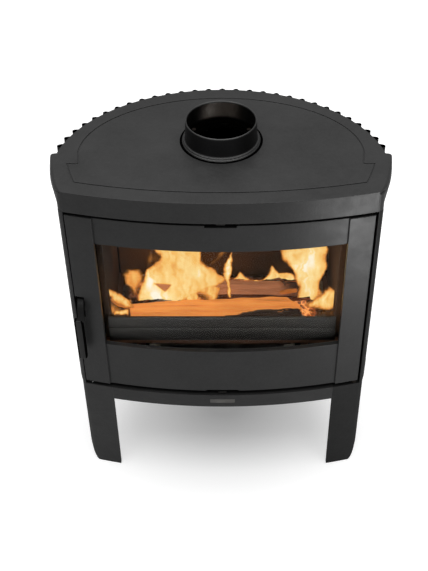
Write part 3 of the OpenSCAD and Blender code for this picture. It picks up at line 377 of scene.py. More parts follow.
def bright_steel(name, colour, rough=0.35, edge=0.5 * MM, blot=0.4):
    """Bare steel: fine brushed streaks and a dull bloom of heat."""
    s = Shader(name)
    brush = s.noise(60.0, 3.0, 0.7, s.where(scale=(1, 1, 40)))
    bloom = s.span(s.noise(25.0, 3.0), 0.35, 0.7, 0.0, blot)
    tone = s.mix(bloom, s.mix(brush, shade(colour, 0.85), shade(colour, 1.12)), shade(colour, 0.45))
    soft = s.add("Bevel", dict(samples=4), Radius=edge).outputs[0]
    return s.finish(Base_Color=tone, Metallic=1.0, Normal=s.bump(0.12, 0.2 * MM, brush, Normal=soft),
                    Roughness=s.span(bloom, 0.0, 1.0, rough, rough + 0.2))


def lining_board(name, colour):
    """Firebox lining: pressed mineral board with flakes and clouds of soot."""
    s = Shader(name)
    flake = s.add("TexVoronoi", Vector=s.where(), Scale=230.0).outputs["Distance"]
    cloud = s.span(s.noise(12.0, 4.0, 0.65), 0.3, 0.7)
    tone = s.mix(cloud, shade(colour, 0.55), shade(colour, 1.25))
    tone = s.mix(s.span(flake, 0.1, 0.6, 0.0, 0.4), tone, shade(colour, 1.6))
    tone = s.mix(s.span(s.noise(6.0, 3.0, 0.6), 0.38, 0.62, 0.0, 0.85), tone, (0.012, 0.009, 0.007))
    return s.finish(Base_Color=tone, Normal=s.bump(0.5, 0.6 * MM, flake), Roughness=0.95,
                    Specular_IOR_Level=0.2)


def glass_pane(name):
    """Clear fire glass with a faint warm haze of smoke."""
    s = Shader(name)
    haze = s.span(s.noise(7.0, 4.0, 0.6), 0.35, 0.75)
    tone = s.mix(haze, (0.98, 0.97, 0.95), (0.90, 0.86, 0.80))
    return s.finish(Base_Color=tone, Roughness=0.0, IOR=1.12, Transmission_Weight=1.0)


def woven(name, colour):
    """Glass-fibre tape or rope: crossed threads with darker gaps between them."""
    s = Shader(name)
    threads = [s.add("TexWave", dict(bands_direction="DIAGONAL"), Vector=s.where(scale=(side, 1, 1)),
                     Scale=900.0, Distortion=1.5, Detail=1.0).outputs["Fac"] for side in (1, -1)]
    cross = s.sum("MULTIPLY", *threads)
    tone = s.mix(cross, shade(colour, 0.5), shade(colour, 1.25))
    return s.finish(Base_Color=tone, Normal=s.bump(0.6, 0.5 * MM, cross), Roughness=0.9,
                    Specular_IOR_Level=0.2)


def firewood(name, split, bark, glow, warm):
    """Split firewood: long fibres on the split faces and the bark, and charred places that glow.

    warm is the strength at which the split faces give light of their own colour: painted light of the fire.
    """
    s = Shader(name)
    face = s.attribute("split")
    char = s.attribute("char")
    fibre = s.noise(95.0, 5.0, 0.65, s.where(scale=(0.06, 1, 1)), 0.3)
    broad = s.noise(22.0, 4.0, 0.6, s.where(scale=(0.15, 1, 1)))
    wood = s.mix(s.span(fibre, 0.3, 0.7), shade(split, 0.62), shade(split, 1.15))
    wood = s.mix(s.span(broad, 0.45, 0.8, 0.0, 0.45), wood, shade(split, 0.4))
    skin = s.mix(s.span(fibre, 0.35, 0.65), shade(bark, 0.45), shade(bark, 1.5))
    tone = s.mix(face, skin, wood)
    scorch = s.span(s.sum("ADD", char, s.span(broad, 0.3, 0.7, -0.25, 0.25)), 0.35, 0.7)
    tone = s.mix(scorch, tone, (0.010, 0.008, 0.007))
    ember = s.sum("MULTIPLY", s.span(fibre, 0.55, 0.72), s.sum("MULTIPLY", scorch, s.attribute("ember")))
    light = s.mix(s.span(ember, 0.0, 0.4), tone, glow)
    # Painted light: split faces glow with their own colour, standing in for the fire's light on them
    bright = s.sum("MAXIMUM", ember, s.span(face, 0.0, 1.0, 0.15 * warm, warm))
    return s.finish(Base_Color=tone, Normal=s.bump(0.7, 1.4 * MM, fibre), Roughness=0.85,
                    Specular_IOR_Level=0.25, Emission_Color=light, Emission_Strength=bright)


def live_embers(name, ash, coal, glow):
    """Bed of embers: grey ash, black coals, and cracks that glow where the warmth value is high."""
    s = Shader(name)
    heat = s.attribute("warmth")
    coals = s.add("TexVoronoi", dict(feature="DISTANCE_TO_EDGE"), Vector=s.where(), Scale=85.0)
    cell = coals.outputs["Distance"]
    crack = s.span(cell, 0.0, 0.16, 1.0, 0.0)
    grey = s.mix(s.span(s.noise(60.0, 4.0), 0.35, 0.65), shade(ash, 0.45), shade(ash, 1.1))
    tone = s.mix(s.span(s.noise(24.0, 3.0), 0.4, 0.6), grey, coal)
    burn = s.sum("MULTIPLY", heat, s.sum("ADD", s.span(s.noise(38.0, 3.0), 0.4, 0.62), crack), True)
    light = s.ramp(burn, [(0.0, shade(glow, 0.25)), (0.5, glow), (1.0, (1.0, 0.40, 0.11))])
    return s.finish(Base_Color=tone, Normal=s.bump(0.8, 2 * MM, cell), Roughness=0.95, Specular_IOR_Level=0.2,
                    Emission_Color=light, Emission_Strength=burn)


def flame_light(name, edge, middle, core, strength):
    """Flame: its colour and its cover follow the heat carried by the mesh, broken up by rising wisps."""
    s = Shader(name)
    wisp = s.noise(55.0, 4.0, 0.55, s.where(scale=(1, 1, 0.3)), 0.8)
    heat = s.sum("ADD", s.attribute("warmth"), s.span(wisp, 0.25, 0.75, -0.05, 0.05))
    deep = shade(edge, 0.3)
    colour = s.ramp(heat, [(0.1, deep), (0.32, edge), (0.55, middle), (0.8, core), (1.0, (1.0, 0.93, 0.76))])
    cover = s.span(heat, 0.05, 0.32, 0.0, 0.98)
    return s.finish(Base_Color=(0.0, 0.0, 0.0, 1.0), Roughness=1.0, Specular_IOR_Level=0.0, Alpha=cover,
                    Emission_Color=colour, Emission_Strength=strength)


# Settings

def length(name, description, default, low=0.0, high=1.0):
    """A length property in metres."""
    return bpy.props.FloatProperty(name=name, description=description, default=default, min=low, max=high,
                                   unit="LENGTH", precision=4)


def colour(name, description, default):
    """A colour property in linear light."""
    return bpy.props.FloatVectorProperty(name=name, description=description, default=default, size=3,
                                         min=0.0, max=1.0, subtype="COLOR")


class StoveSizes(bpy.types.PropertyGroup):
    collar_outside: length("Collar Outside", "Outside diameter of the flue collar", 0.150, 0.1, 0.2)
    collar_wall: length("Collar Wall", "Thickness of the flue collar's tube", 0.003, 0.002, 0.006)
    collar_flange: length("Collar Flange", "Height of the flue collar's flange", 0.0065, 0.003, 0.012)
    collar_draft: length("Collar Draft", "How much the collar narrows towards its mouth", 0.0016, 0.0, 0.004)
    collar_rim: length("Collar Rim", "Radius of the bead round the flue collar's mouth", 0.0022, 0.001, 0.003)
    flute_base: length("Flute Base", "Width of a flute where it leaves the back shell", 0.027, 0.012, 0.029)
    flute_rise: length("Flute Rise", "Height of a flute over the back shell", 0.0164, 0.008, 0.0164)
    grip_corner: length("Grip Corner", "Rounding of the handle grip's corners", 0.004, 0.001, 0.008)


class StoveFire(bpy.types.PropertyGroup):
    flame_strength: bpy.props.FloatProperty(name="Flame Strength", description="Light that the flames give",
                                            default=1.05, min=0.0, max=5.0)
    flame_edge: colour("Flame Edge", "Colour at the flames' edges", (0.80, 0.30, 0.06))
    flame_middle: colour("Flame Middle", "Colour inside the flames", (0.93, 0.54, 0.15))
    flame_core: colour("Flame Core", "Colour of the hottest flame", (0.99, 0.74, 0.32))
    ember_glow: colour("Ember Glow", "Colour of glowing embers", (0.95, 0.20, 0.04))
    wood_split: colour("Split Wood", "Colour of a log's split face", (0.84, 0.29, 0.065))
    wood_bark: colour("Bark", "Colour of bark", (0.075, 0.045, 0.03))
    wood_charred: colour("Charred Wood", "Colour of wood that has burnt for a while", (0.40, 0.16, 0.075))
    ash: colour("Ash", "Colour of ash", (0.30, 0.27, 0.24))


class StoveFinish(bpy.types.PropertyGroup):
    iron: colour("Iron Paint", "Colour of the painted castings", (0.0215, 0.0215, 0.0215))
    collar: colour("Collar Paint", "Colour of the flue collar", (0.0075, 0.0075, 0.008))
    soot: colour("Sooty Iron", "Colour of the iron inside the firebox", (0.013, 0.010, 0.008))
    hearth: colour("Hearth Iron", "Colour of the scorched hearth plate", (0.14, 0.070, 0.042))
    lining: colour("Lining", "Colour of the firebox lining", (0.10, 0.052, 0.028))
    steel: colour("Steel", "Colour of bare steel", (0.42, 0.41, 0.39))
    rope: colour("Rope", "Colour of the rope and tape", (0.22, 0.21, 0.20))


# Pieces

def dress(names, material):
    """Give a finish to the CAD nodes that are named, or whose material slot is."""
    pieces = [piece for node, piece in frame["nodes"].items() if node in names or SLOT_OF[node] in names]
    if not pieces:
        raise RuntimeError(f"no node goes by {names}")
    for piece in pieces:
        if not piece.material_slots:
            piece.data.materials.append(material)
        for place in piece.material_slots:
            place.material = material


def shell_iron(name, finish):
    """The back shell's rough paint, made five times darker than the painted iron: painted shade."""
    return cast_iron(name, shade(finish.iron, 0.2), rough=0.6, grain=1.3, wear=0.1, gloss=0.12)


class STOVE_OT_castings(bpy.types.Operator):
    """Finish every casting, plate and fitting that stays as built: first by slot, then single pieces"""
    bl_idname = "stove.castings"
    bl_label = "Castings"

    def execute(self, context):
        finish = context.scene.stove_finish
        seam = RETAINER_HIGH.z - 0.43 * (RETAINER_HIGH.z - RETAINER_LOW.z)
        for names, material in (
                (("iron",), cast_iron("Painted Iron", finish.iron)),
                (("steel", "clip_steel"), bright_steel("Fittings Steel", finish.steel)),
                (("shell_iron",), shell_iron("Shaded Shell Iron", finish)),
                (("sooty_iron",), cast_iron("Sooty Iron", finish.soot, rough=0.75, grain=1.5, wear=0.15,
                                            soot=0.8)),
                # Painted shade: the lever is a much darker copy of the painted iron
                (("lever_iron",), cast_iron("Shaded Lever Iron", shade(finish.iron, 0.45), rough=0.5, edge=MM,
                                            wear=0.1, gloss=0.15)),
                (("fire_lining",), lining_board("Fire Lining", finish.lining)),
                (("pan_steel",), bright_steel("Pan Steel", shade(finish.steel, 0.5), rough=0.5, blot=0.7)),
                (("knob_steel",), bright_steel("Knob Steel", shade(finish.steel, 0.08), rough=0.5)),
                (("blank_plate",), bright_steel("Blank Plate", shade(finish.steel, 0.35))),
                (("glass",), glass_pane("Fire Glass")),
                (("tape",), woven("Glass Tape", finish.rope)),
                (("rope",), woven("Door Rope", shade(finish.rope, 0.6))),
                # The top plate gets painted shade, near black, round and under the flue collar
                (("top_plate",), cast_iron("Top Iron", finish.iron, flue=True)),
                # Near-black soot tone: painted shade on the screws in the collar's bore and the handle pin in
                # its slot; the hinge pins get the same tone
                (("collar_screws", "handle_pin", "upper_hinge_pin", "lower_hinge_pin"),
                 cast_iron("Shaded Fittings", finish.soot, rough=0.8, wear=0.05, soot=0.8, gloss=0.1)),
                # The retainer gets a painted highlight and painted shade about its seam
                (("log_retainer",), cast_iron("Retainer Iron", shade(finish.iron, 0.9), rough=0.45, wear=0.1,
                                              bead=seam)),
                # Painted shade: the right side is a darker, less glossy copy of the painted iron
                (("right_side",), cast_iron("Shaded Side Iron", shade(finish.iron, 0.85), rough=0.45, wear=0.1,
                                            gloss=0.12)),
                (("hearth_plate",), cast_iron("Hearth Iron", finish.hearth, rough=0.7, grain=1.5, wear=0.1))):
            dress(names, material)
        return {"FINISHED"}


def arc(across, up, wide, high, angles):
    """Points on an ellipse about a middle, as places across and up."""
    return [[across + wide * math.cos(a), up + high * math.sin(a)] for a in angles]


class STOVE_OT_collar(bpy.types.Operator):
    """Turn the flue collar: a stepped flange, a tube with a beaded mouth and a ledge inside

    One outline of straight lines and arcs is turned about the collar's axis. The ledge is sunk at each screw.
    """
    bl_idname = "stove.collar"
    bl_label = "Flue Collar"

    def execute(self, context):
        size, finish = context.scene.stove_sizes, context.scene.stove_finish
        middle = (COLLAR_LOW + COLLAR_HIGH) / 2
        flange = (COLLAR_HIGH.x - COLLAR_LOW.x) / 2
        tube = size.collar_outside / 2
        bore = tube - size.collar_wall
        ledge = tube - 14 * MM
        foot, mouth, bead = COLLAR_LOW.z, COLLAR_HIGH.z, size.collar_rim
        top = foot + size.collar_flange
        shelf, foot_curve = foot + 5 * MM, foot + 7 * MM
        lower_ring, groove_at = top - 2.4 * MM, top - 2.15 * MM
        step, bend, hollow, turn_in = 1.8 * MM, MM, 2.5 * MM, 2 * MM
        half = (tube - bore) / 2
        quarter = np.radians(np.linspace(0, 90, 7))
        outline = [[ledge, foot], [flange - 0.6 * MM, foot], [flange, foot + 0.6 * MM]]
        outline += [[flange, z] for z in np.linspace(foot + MM, lower_ring - 1.9 * MM, 4)]
        outline += arc(flange - step, lower_ring - step, step, step, quarter)
        outline += [[flange - step - 0.3 * MM, top - 2.2 * MM], [flange - step, top - 1.9 * MM]]
        outline += arc(flange - step - bend, top - bend, bend, bend, quarter)
        outline += arc(tube + hollow, top + hollow, hollow, hollow, -math.pi / 2 - quarter)
        outline += [[tube, z] for z in np.linspace(top + 8 * MM, mouth - 5 * MM, 5)]
        outline += arc(tube - half, mouth - bead, half, bead, np.radians(np.linspace(0, 180, 13)))
        outline += [[bore, z] for z in np.linspace(mouth - 5 * MM, foot_curve, 6)]
        outline += arc(bore - turn_in, foot_curve, turn_in, turn_in, -quarter[1:])
        outline += [[r, shelf] for r in np.linspace(bore - 2.4 * MM, ledge + 0.6 * MM, 12)]
        outline += [[ledge, shelf - 0.5 * MM], [ledge, foot + 2 * MM]]
        outline = np.array(outline)
        outline[:, 0] -= size.collar_draft * np.clip((outline[:, 1] - top) / (mouth - top), 0, 1)
        turn = np.radians(np.linspace(0, 360, 361)[:-1])[:, None]
        radius, height = outline[None, :, 0], outline[None, :, 1]
        x, y = radius * np.cos(turn), radius * np.sin(turn)
        screw_ring, screw_hole, screw_sink = (ledge + bore) / 2, 4.9 * MM, foot + 2.6 * MM
        for angle in np.radians([30, 150, 270]):
            away = np.hypot(x - screw_ring * math.cos(angle), y - screw_ring * math.sin(angle))
            on_shelf = np.abs(height - shelf) < 0.2 * MM
            height = np.where(on_shelf & (away < screw_hole), screw_sink, height)
        points = np.stack([x + middle.x, y + middle.y, height], axis=-1)
        quads = grid_faces(points.shape[0], points.shape[1], True, True)
        material = cast_iron("Turned Collar", finish.collar, rough=0.42, grain=0.8, wear=0.8, painted_shade="painted_shade")
        # Painted shade: darker deep in the bore and towards the collar's left and right sides, more inside
        # than out; the bore's upper wall between gets a scorched tone that is partly painted highlight
        inside = (radius < bore + 0.1 * MM) & (height < mouth - 3 * MM)
        depth = smoothstep(mouth - 33 * MM, mouth - 43 * MM, height)
        side = 0.9 * smoothstep(0.3, 0.85, np.abs(np.cos(turn)))
        painted_shade = np.where(inside, np.maximum(depth, side), 0.5 * side)
        # Painted highlight: a paler rim round the mouth and paler flange rings, lifted further on the
        # flange's lower face, broken by a dark line at the groove
        rim = smoothstep(mouth - 2.6 * MM, mouth - 1.2 * MM, height)
        groove = np.exp(-((height - groove_at) / (0.35 * MM)) ** 2)
        ring = (1 - groove) * (height < top + 0.4 * MM) * (height > foot) * (radius > tube + MM)
        lower_face_highlight = 1 + 1.6 * smoothstep(top - 2.6 * MM, top - 3.8 * MM, height)
        bare = np.maximum(0.36 * rim, 0.34 * ring * lower_face_highlight)
        piece = put_mesh("collar", points, quads, material=material, slot="collar_iron",
                         values=dict(painted_shade=painted_shade, scorch_and_highlight=inside * (1.0 - painted_shade), bare=bare))
        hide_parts("flue_collar")
        return {"FINISHED"}


class STOVE_OT_flutes(bpy.types.Operator):
    """Swell the back shell's ribs into broad flutes

    The section is a bell: its height over the shell follows a raised cosine to a power. Each one stands on
    the back ellipse, at even lengths along it, and is carried straight up the shell.
    """
    bl_idname = "stove.flutes"
    bl_label = "Flutes"

    def execute(self, context):
        size, finish = context.scene.stove_sizes, context.scene.stove_finish
        first = math.asin((FLUTE_FROM - BACK_MIDDLE) / BACK_DEEP)
        fine = np.linspace(first, math.pi - first, 2001)
        pace = np.hypot(BACK_WIDE * np.sin(fine), BACK_DEEP * np.cos(fine))
        length_to = np.concatenate([[0.0], np.cumsum((pace[1:] + pace[:-1]) / 2)])
        angle = np.interp(np.linspace(0, length_to[-1], FLUTES), length_to, fine)
        half, rise = size.flute_base / MM / 2, size.flute_rise / MM
        across = np.linspace(-half, half, 25)
        bell = rise * (0.5 + 0.5 * np.cos(math.pi * across / half)) ** 0.55 - SHELL_SET_IN
        sunk = -SHELL_SET_IN - 1.5
        across, out = np.concatenate([across, [half, -half]]), np.concatenate([bell, [sunk, sunk]])
        lean = np.arctan2(BACK_WIDE * np.sin(angle), BACK_DEEP * np.cos(angle))[:, None]
        x = BACK_WIDE * np.cos(angle)[:, None] + out * np.cos(lean) - across * np.sin(lean)
        y = BACK_MIDDLE + BACK_DEEP * np.sin(angle)[:, None] + out * np.sin(lean) + across * np.cos(lean)
        rings = at(x, y, np.array([SHELL_LOW.z, SHELL_HIGH.z])[:, None, None] / MM)
        parts = [closed_tube(rings[:, number]) for number in range(FLUTES)]
        # The flutes get the shell's painted shade
        put_mesh("shell_flutes", *joined(parts), material=shell_iron("Shaded Flute Iron", finish), slot="shell_iron",
                 smooth=False)
        return {"FINISHED"}


def log_shape(long, wide, high, front_edge, seed, slant=0.0, mirror=False):
    """Split log along X from its middle, standing on its base.

    The section is a seven-cornered wedge whose front edge rises along the log, with its corners rounded and
    its skin pushed in and out by fibres that run along it. The right end is cut at a slant: x falls by slant
    times the share of the width times s cubed. Gives x, y, z, the share of split face and the place s along.
    """
    rows, cols = 150, 132
    s = np.linspace(0, 1, rows)
    edge = np.interp(s, np.linspace(0, 1, len(front_edge)), front_edge)
    fixed = [[-0.46, 0.0], [0.40, 0.0], [0.5, 0.35], [0.40, 0.78], [0.16, 1.0]]
    sections = [np.array(fixed + [[-0.44, k], [-0.5, 0.45 * k]]) * [wide, high] for k in edge]
    ring = np.stack([rounded(evenly(section, cols), 3) for section in sections])
    around = np.linspace(0, 1, cols + 1)[:-1]
    along, about = np.meshgrid(s * long, around * (2.6 * wide + 2.0 * high), indexing="ij")
    centre = ring.mean(axis=1, keepdims=True)
    out = ring - centre
    reach = np.linalg.norm(out, axis=2, keepdims=True)
    relief = 0.55 * ripple(along * 0.10, about, 0.55, seed, 4, 0.6)
    relief = relief + 1.4 * ripple(along, about, 0.035, seed + 4, 3)
    step = np.sign(ripple(along * 0.16, about, 0.09, seed + 8, 2)) * 0.5
    relief = np.where(ring[..., 1] < 2.0, 0.0, relief + step)
    ring = centre + out * (1 + (relief - 2.2)[..., None] / reach)
    ring[..., 1] = np.maximum(ring[..., 1], 0.0)
    lean = 1.6 * ripple(ring[..., 0], ring[..., 1], 0.09, seed + 2, 3)
    x = (s[:, None] - 0.5) * (long - 8) + lean * np.abs(2 * s[:, None] - 1) ** 6
    pinch = 1 - 0.05 * np.abs(2 * s - 1)[:, None, None] ** 14
    ring = centre + (ring - centre) * pinch
    over = ring[..., 1] > (np.minimum(edge, 0.7) * high)[:, None] - 1.5
    split = over & (ring[..., 0] > -0.41 * wide) & (around > 0.35)
    along = np.broadcast_to(s[:, None], x.shape)
    x = x - slant * (ring[..., 0] / wide + 0.5) * along ** 3
    y = -ring[..., 0] if mirror else ring[..., 0]
    return x, y, ring[..., 1], split.astype(float), along


def put_log(name, node, place, turn, shape, material, slot, char, ember):
    """Turn a log about the vertical, set it on the hearth and close its ends.

    char and ember give those values from x, y, z and the place along the log.
    """
    x, y, z, split, along = shape
    c, s = math.cos(math.radians(turn)), math.sin(math.radians(turn))
    clearance = 0.2
    grid = at(place[0] + c * x - s * y, place[1] + s * x + c * y, HEARTH_TOP + clearance + z)
    points, quads, triangles = closed_tube(grid)

    def ends(value):
        return np.concatenate([value.ravel(), value[:1].mean(axis=1), value[-1:].mean(axis=1)])

    piece = put_mesh(name, points, quads, triangles, material=material, slot=slot,
                     values=dict(split=ends(split), char=ends(char(x, y, z, along)),
                                 ember=ends(ember(x, y, z, along))))
    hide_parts(node)


def put_stick(name, path, wide, high, material, seed, char=0.3, ember=0.6, taper=0.2):
    """Rough stick along a path.

    Its section is a superellipse of power 3.2. It swells by a ripple, and tapers by the cube of the distance
    from the stick's middle.
    """
    line = evenly(path, 60, closed=False)
    ahead = np.gradient(line, axis=0)
    ahead /= np.linalg.norm(ahead, axis=1, keepdims=True)
    side = np.cross(ahead, [0.0, 0.0, 1.0])
    side /= np.linalg.norm(side, axis=1, keepdims=True)
    over = np.cross(side, ahead)
    s, t = np.meshgrid(np.linspace(0, 1, len(line)), np.linspace(0, 2 * np.pi, 41)[:-1], indexing="ij")
    c, d = np.cos(t), np.sin(t)
    square = (np.abs(c) ** 3.2 + np.abs(d) ** 3.2) ** (-1 / 3.2)
    size = square * (1 + 0.07 * ripple(s * 9, 2 * t, 1.0, seed, 3)) * (1 - taper * np.abs(2 * s - 1) ** 3)
    ring = line[:, None, :] + side[:, None, :] * (size * c * wide / 2)[..., None]
    ring = ring + over[:, None, :] * (size * d * high / 2)[..., None]
    points, quads, triangles = closed_tube(at(ring[..., 0], ring[..., 1], ring[..., 2]))
    whole = np.ones(len(points))
    put_mesh(name, points, quads, triangles, material=material,
             values=dict(split=whole, char=char * whole, ember=ember * whole))


class STOVE_OT_logs(bpy.types.Operator):
    """Lay the split logs on the hearth"""
    bl_idname = "stove.logs"
    bl_label = "Logs"

    def execute(self, context):
        fire = context.scene.stove_fire
        fresh = firewood("Fresh Wood", fire.wood_split, fire.wood_bark, fire.ember_glow, 0.75)
        charred_bark = shade(fire.wood_charred, 0.4)
        burnt = firewood("Charred Wood", fire.wood_charred, charred_bark, fire.ember_glow, 0.75)

        def front_char(x, y, z, s):
            """Charred along the back, less towards the right end, and not at all on the upper front."""
            back = smoothstep(22, 30, y - 5 * s) * smoothstep(0.8, 0.4, s)
            return 0.1 + 0.6 * back - 0.4 * (z > 30) * (y < 20)

        put_log("log_front", "front_log", (-13, 126), 4,
                log_shape(396, 64, 62, (0.35, 0.45, 0.64, 0.92, 0.95), 1.0, slant=52), fresh, "fresh_wood",
                front_char, lambda x, y, z, s: smoothstep(10, 30, y))
        put_log("log_back", "back_log", (9, 218), -3,
                log_shape(396, 62, 41, (0.55, 0.6, 0.7), 5.0, mirror=True), burnt, "charred_wood",
                lambda x, y, z, s: 0.14 + 0.5 * smoothstep(0.76, 0.9, s), lambda x, y, z, s: 0.5 + 0 * x)
        top = HEARTH_TOP
        singed = firewood("Singed Kindling", (0.46, 0.15, 0.03), fire.wood_bark, fire.ember_glow, 0.6)
        put_stick("kindling_left", [(-240, 92, top + 104), (-226, 98, top + 84), (-204, 106, top + 66)], 9,
                  18, singed, 2.0, char=0.3, taper=0.4)
        put_stick("kindling_right", [(132, 176, top + 44), (150, 172, top + 52), (168, 166, top + 60)], 9, 9,
                  singed, 4.0, char=0.1)
        put_stick("twig", [(118, 214, top + 50), (130, 213, top + 54), (142, 211, top + 45),
                           (146, 205, top + 36)], 5, 5, burnt, 6.0, char=0.55, ember=0.0)
        return {"FINISHED"}


# Flames between the logs: outline in mm from the middle and above the embers, heat, soft edge, streaks
FRONT_FLAMES = [
    ([(-156, 157), (-136, 126), (-174, 105), (-185, 58), (-201, 16), (-198, -8), (-110, -8), (-62, 28),
      (-22, 50), (2, 55), (14, 70), (2, 80), (-8, 86), (-21, 114), (-37, 110), (-49, 136), (-44, 168),
      (-60, 200), (-75, 238), (-92, 204), (-112, 246), (-134, 202), (-150, 216), (-160, 182)], 0.62, 7, 0.10),
    ([(-174, 104), (-158, 112), (-136, 126), (-150, 150), (-163, 154), (-172, 132)], 0.24, 12, 0.15),
    ([(-230, 86), (-212, 107), (-184, 100), (-176, 80), (-186, 52), (-202, 14), (-213, 40), (-224, 58)],
     0.38, 8, 0.12),
    ([(-112, 4), (-20, -6), (2, 56), (-60, 62)], 0.42, 6, 0.60),
    ([(-33, 120), (-12, 140), (-4, 168), (16, 176), (10, 150), (-4, 130), (-24, 112)], 0.26, 8, 0.2),
    ([(22, 158), (24, 121), (20, 91), (16, 67), (21, 37), (18, 12), (12, 12), (11, 55), (2, 78), (0, 103),
      (9, 128)], 0.78, 5, 0.1),
    ([(126, 152), (142, 124), (160, 100), (162, 76), (174, 52), (171, 31), (169, 9), (182, -8), (206, -8),
      (221, 15), (225, 52), (221, 63), (240, 108), (230, 138), (238, 164), (224, 190), (214, 226), (202, 192),
      (186, 240), (166, 196), (148, 218), (134, 182)], 0.68, 7, 0.12),
    ([(176, -10), (212, -14), (243, -12), (243, 32), (232, 30), (222, 58), (204, 34)], 0.34, 6, 0.15),
]
# Flames in front of the front log's ends
NEAR_FLAMES = [
    ([(-258, 152), (-243, 138), (-227, 124), (-212, 110), (-200, 101), (-196, 70), (-218, 77), (-240, 96),
      (-258, 120)], 0.88, 10, 0.25),
    ([(-240, 66), (-222, 71), (-204, 69), (-206, 53), (-240, 53)], 0.86, 8, 0.5),
    ([(-258, 120), (-240, 98), (-218, 78), (-200, 72), (-206, 53), (-258, 53)], 0.18, 8, 0.3),
    ([(232, 139), (254, 126), (258, 82), (240, 69), (207, 71), (180, 82), (197, 101), (217, 122)],
     0.70, 12, 0.3),
    ([(258, 84), (240, 71), (207, 73), (184, 80), (196, 50), (258, 50)], 0.16, 8, 0.4),
]
# Flames behind the back log
REAR_FLAMES = [
    ([(-60, -10), (-60, 30), (-20, 26), (8, 14), (24, 6), (32, 20), (39, 42), (46, 26), (62, 10), (72, 14),
      (89, 9), (104, 24), (114, 62), (121, 41), (140, 27), (163, 30), (172, 8), (182, -10)], 0.72, 5, 0.1),
]
# Dark hollow inside the left flame, and hot places: middle, reach across and up, gain
HOLLOW = [(-158, 58), (-116, 58), (-132, 33)]
HOT_PLACES = [(-164, 56, 20, 44, 0.34), (-142, 14, 34, 20, 0.34), (-52, 112, 15, 42, 0.20),
              (184, 122, 26, 46, 0.26), (-112, 150, 22, 20, 0.10), (14, 96, 9, 40, 0.12),
              (70, 0, 90, 10, 0.1)]
# Each sheet: name, flames, depth behind the front and height in mm, seed
SHEETS = [("flames_front", FRONT_FLAMES, 186, 252, 0.4), ("flames_rear", REAR_FLAMES, 258, 100, 2.2),
          ("flames_near", NEAR_FLAMES, 86, 160, 1.3)]


def depth_inside(x, z, outline, count=96):
    """Distance in from a closed outline to every point of a grid, negative outside it."""
    line = rounded(evenly(outline, count), 2)
    near = np.full(x.shape, np.inf)
    inside = np.zeros(x.shape, bool)
    for (ax, az), (bx, bz) in zip(line, np.roll(line, -1, axis=0)):
        dx, dz = bx - ax, bz - az
        t = np.clip(((x - ax) * dx + (z - az) * dz) / (dx * dx + dz * dz), 0, 1)
        near = np.minimum(near, (x - ax - t * dx) ** 2 + (z - az - t * dz) ** 2)
        level = dz if abs(dz) > 1e-9 else 1e-9
        inside ^= ((az > z) != (bz > z)) & (x < ax + dx * (z - az) / level)
    return np.where(inside, 1, -1) * np.sqrt(near)


def heat_map(x, z, flames, drift):
    """Heat of a flame sheet.

    It is the strongest flame at each point: an S-shaped rise from its edge inwards, times one plus a ripple
    drawn out upwards, and darker along the zero lines of another ripple. Hot places add bell curves.
    """
    lift = np.clip(z, 0, 300)
    sway = (1.2 + 0.010 * lift) * ripple(x, z * 0.6, 0.14, drift, 4, 0.6)
    rise = (1.4 + 0.010 * lift) * ripple(x, z * 0.6, 0.16, drift + 3, 4, 0.6)
    calm = (0.8 + 0.008 * lift) * ripple(x, z, 0.10, drift, 3)
    streak = 0.7 * ripple(x + 3 * calm, z * 0.2, 0.14, drift + 6, 3)
    streak = streak + 0.4 * ripple(x, z * 0.16, 0.42, drift, 2)
    heat = np.zeros_like(x)
    vein = np.abs(ripple(x + 5 * calm, z * 0.26 + 0.2 * x, 0.085, drift + 11, 3, 0.55))
    cloud = ripple(x, z * 0.55, 0.05, drift + 21, 3)
    for outline, level, soft, rough in flames:
        depth = depth_inside(x + sway, z + rise, outline)
        body = level * smoothstep(-0.5 * soft, 1.6 * soft, depth) + 0.06 * smoothstep(8, 40, depth)
        inner = smoothstep(0, 2 * soft, depth)
        body = body * (1 + rough * streak) * (1 - 0.24 * inner * (1 - smoothstep(0.0, 0.9, vein)))
        heat = np.maximum(heat, body + 0.08 * cloud * inner)
    for middle_x, middle_z, reach_x, reach_z, gain in HOT_PLACES:
        near = np.exp(-((x - middle_x) / reach_x) ** 2 - ((z - middle_z) / reach_z) ** 2)
        heat = heat + gain * near * smoothstep(0.25, 0.6, heat)
    return np.clip(heat, 0, 1.2)


class STOVE_OT_flames(bpy.types.Operator):
    """Raise the flames: wavy upright sheets cut to chosen outlines, with the heat that colours them

    A sheet's depth is its own plus a sine across and a ripple, and its faces without heat are left out.
    """
    bl_idname = "stove.flames"
    bl_label = "Flames"

    def execute(self, context):
        fire = context.scene.stove_fire
        light = flame_light("Flame", fire.flame_edge, fire.flame_middle, fire.flame_core, fire.flame_strength)
        foot = HEARTH_TOP + 3
        for name, flames, depth, high, seed in SHEETS:
            rows = int(high / 1.6) + 1
            x, z = np.meshgrid(np.linspace(-HEARTH_HALF, HEARTH_HALF, 306), np.linspace(0, high, rows))
            heat = heat_map(x, z, flames, seed)
            if flames is FRONT_FLAMES:
                heat = heat * (1 - smoothstep(-3, 4, depth_inside(x, z, HOLLOW, 60)))
            y = depth + 3 * np.sin(x * 0.031 + seed) + 2 * ripple(x, z, 0.02, seed, 2)
            quads = grid_faces(*x.shape)
            quads = quads[heat.ravel()[quads].max(axis=1) > 0]
            used, quads = np.unique(quads, return_inverse=True)
            points = at(x, y, foot + z).reshape(-1, 3)[used]
            piece = put_mesh(name, points, quads.reshape(-1, 4), closed=False, material=light,
                             values=dict(warmth=heat.ravel()[used]))
            piece.visible_shadow = False
        return {"FINISHED"}


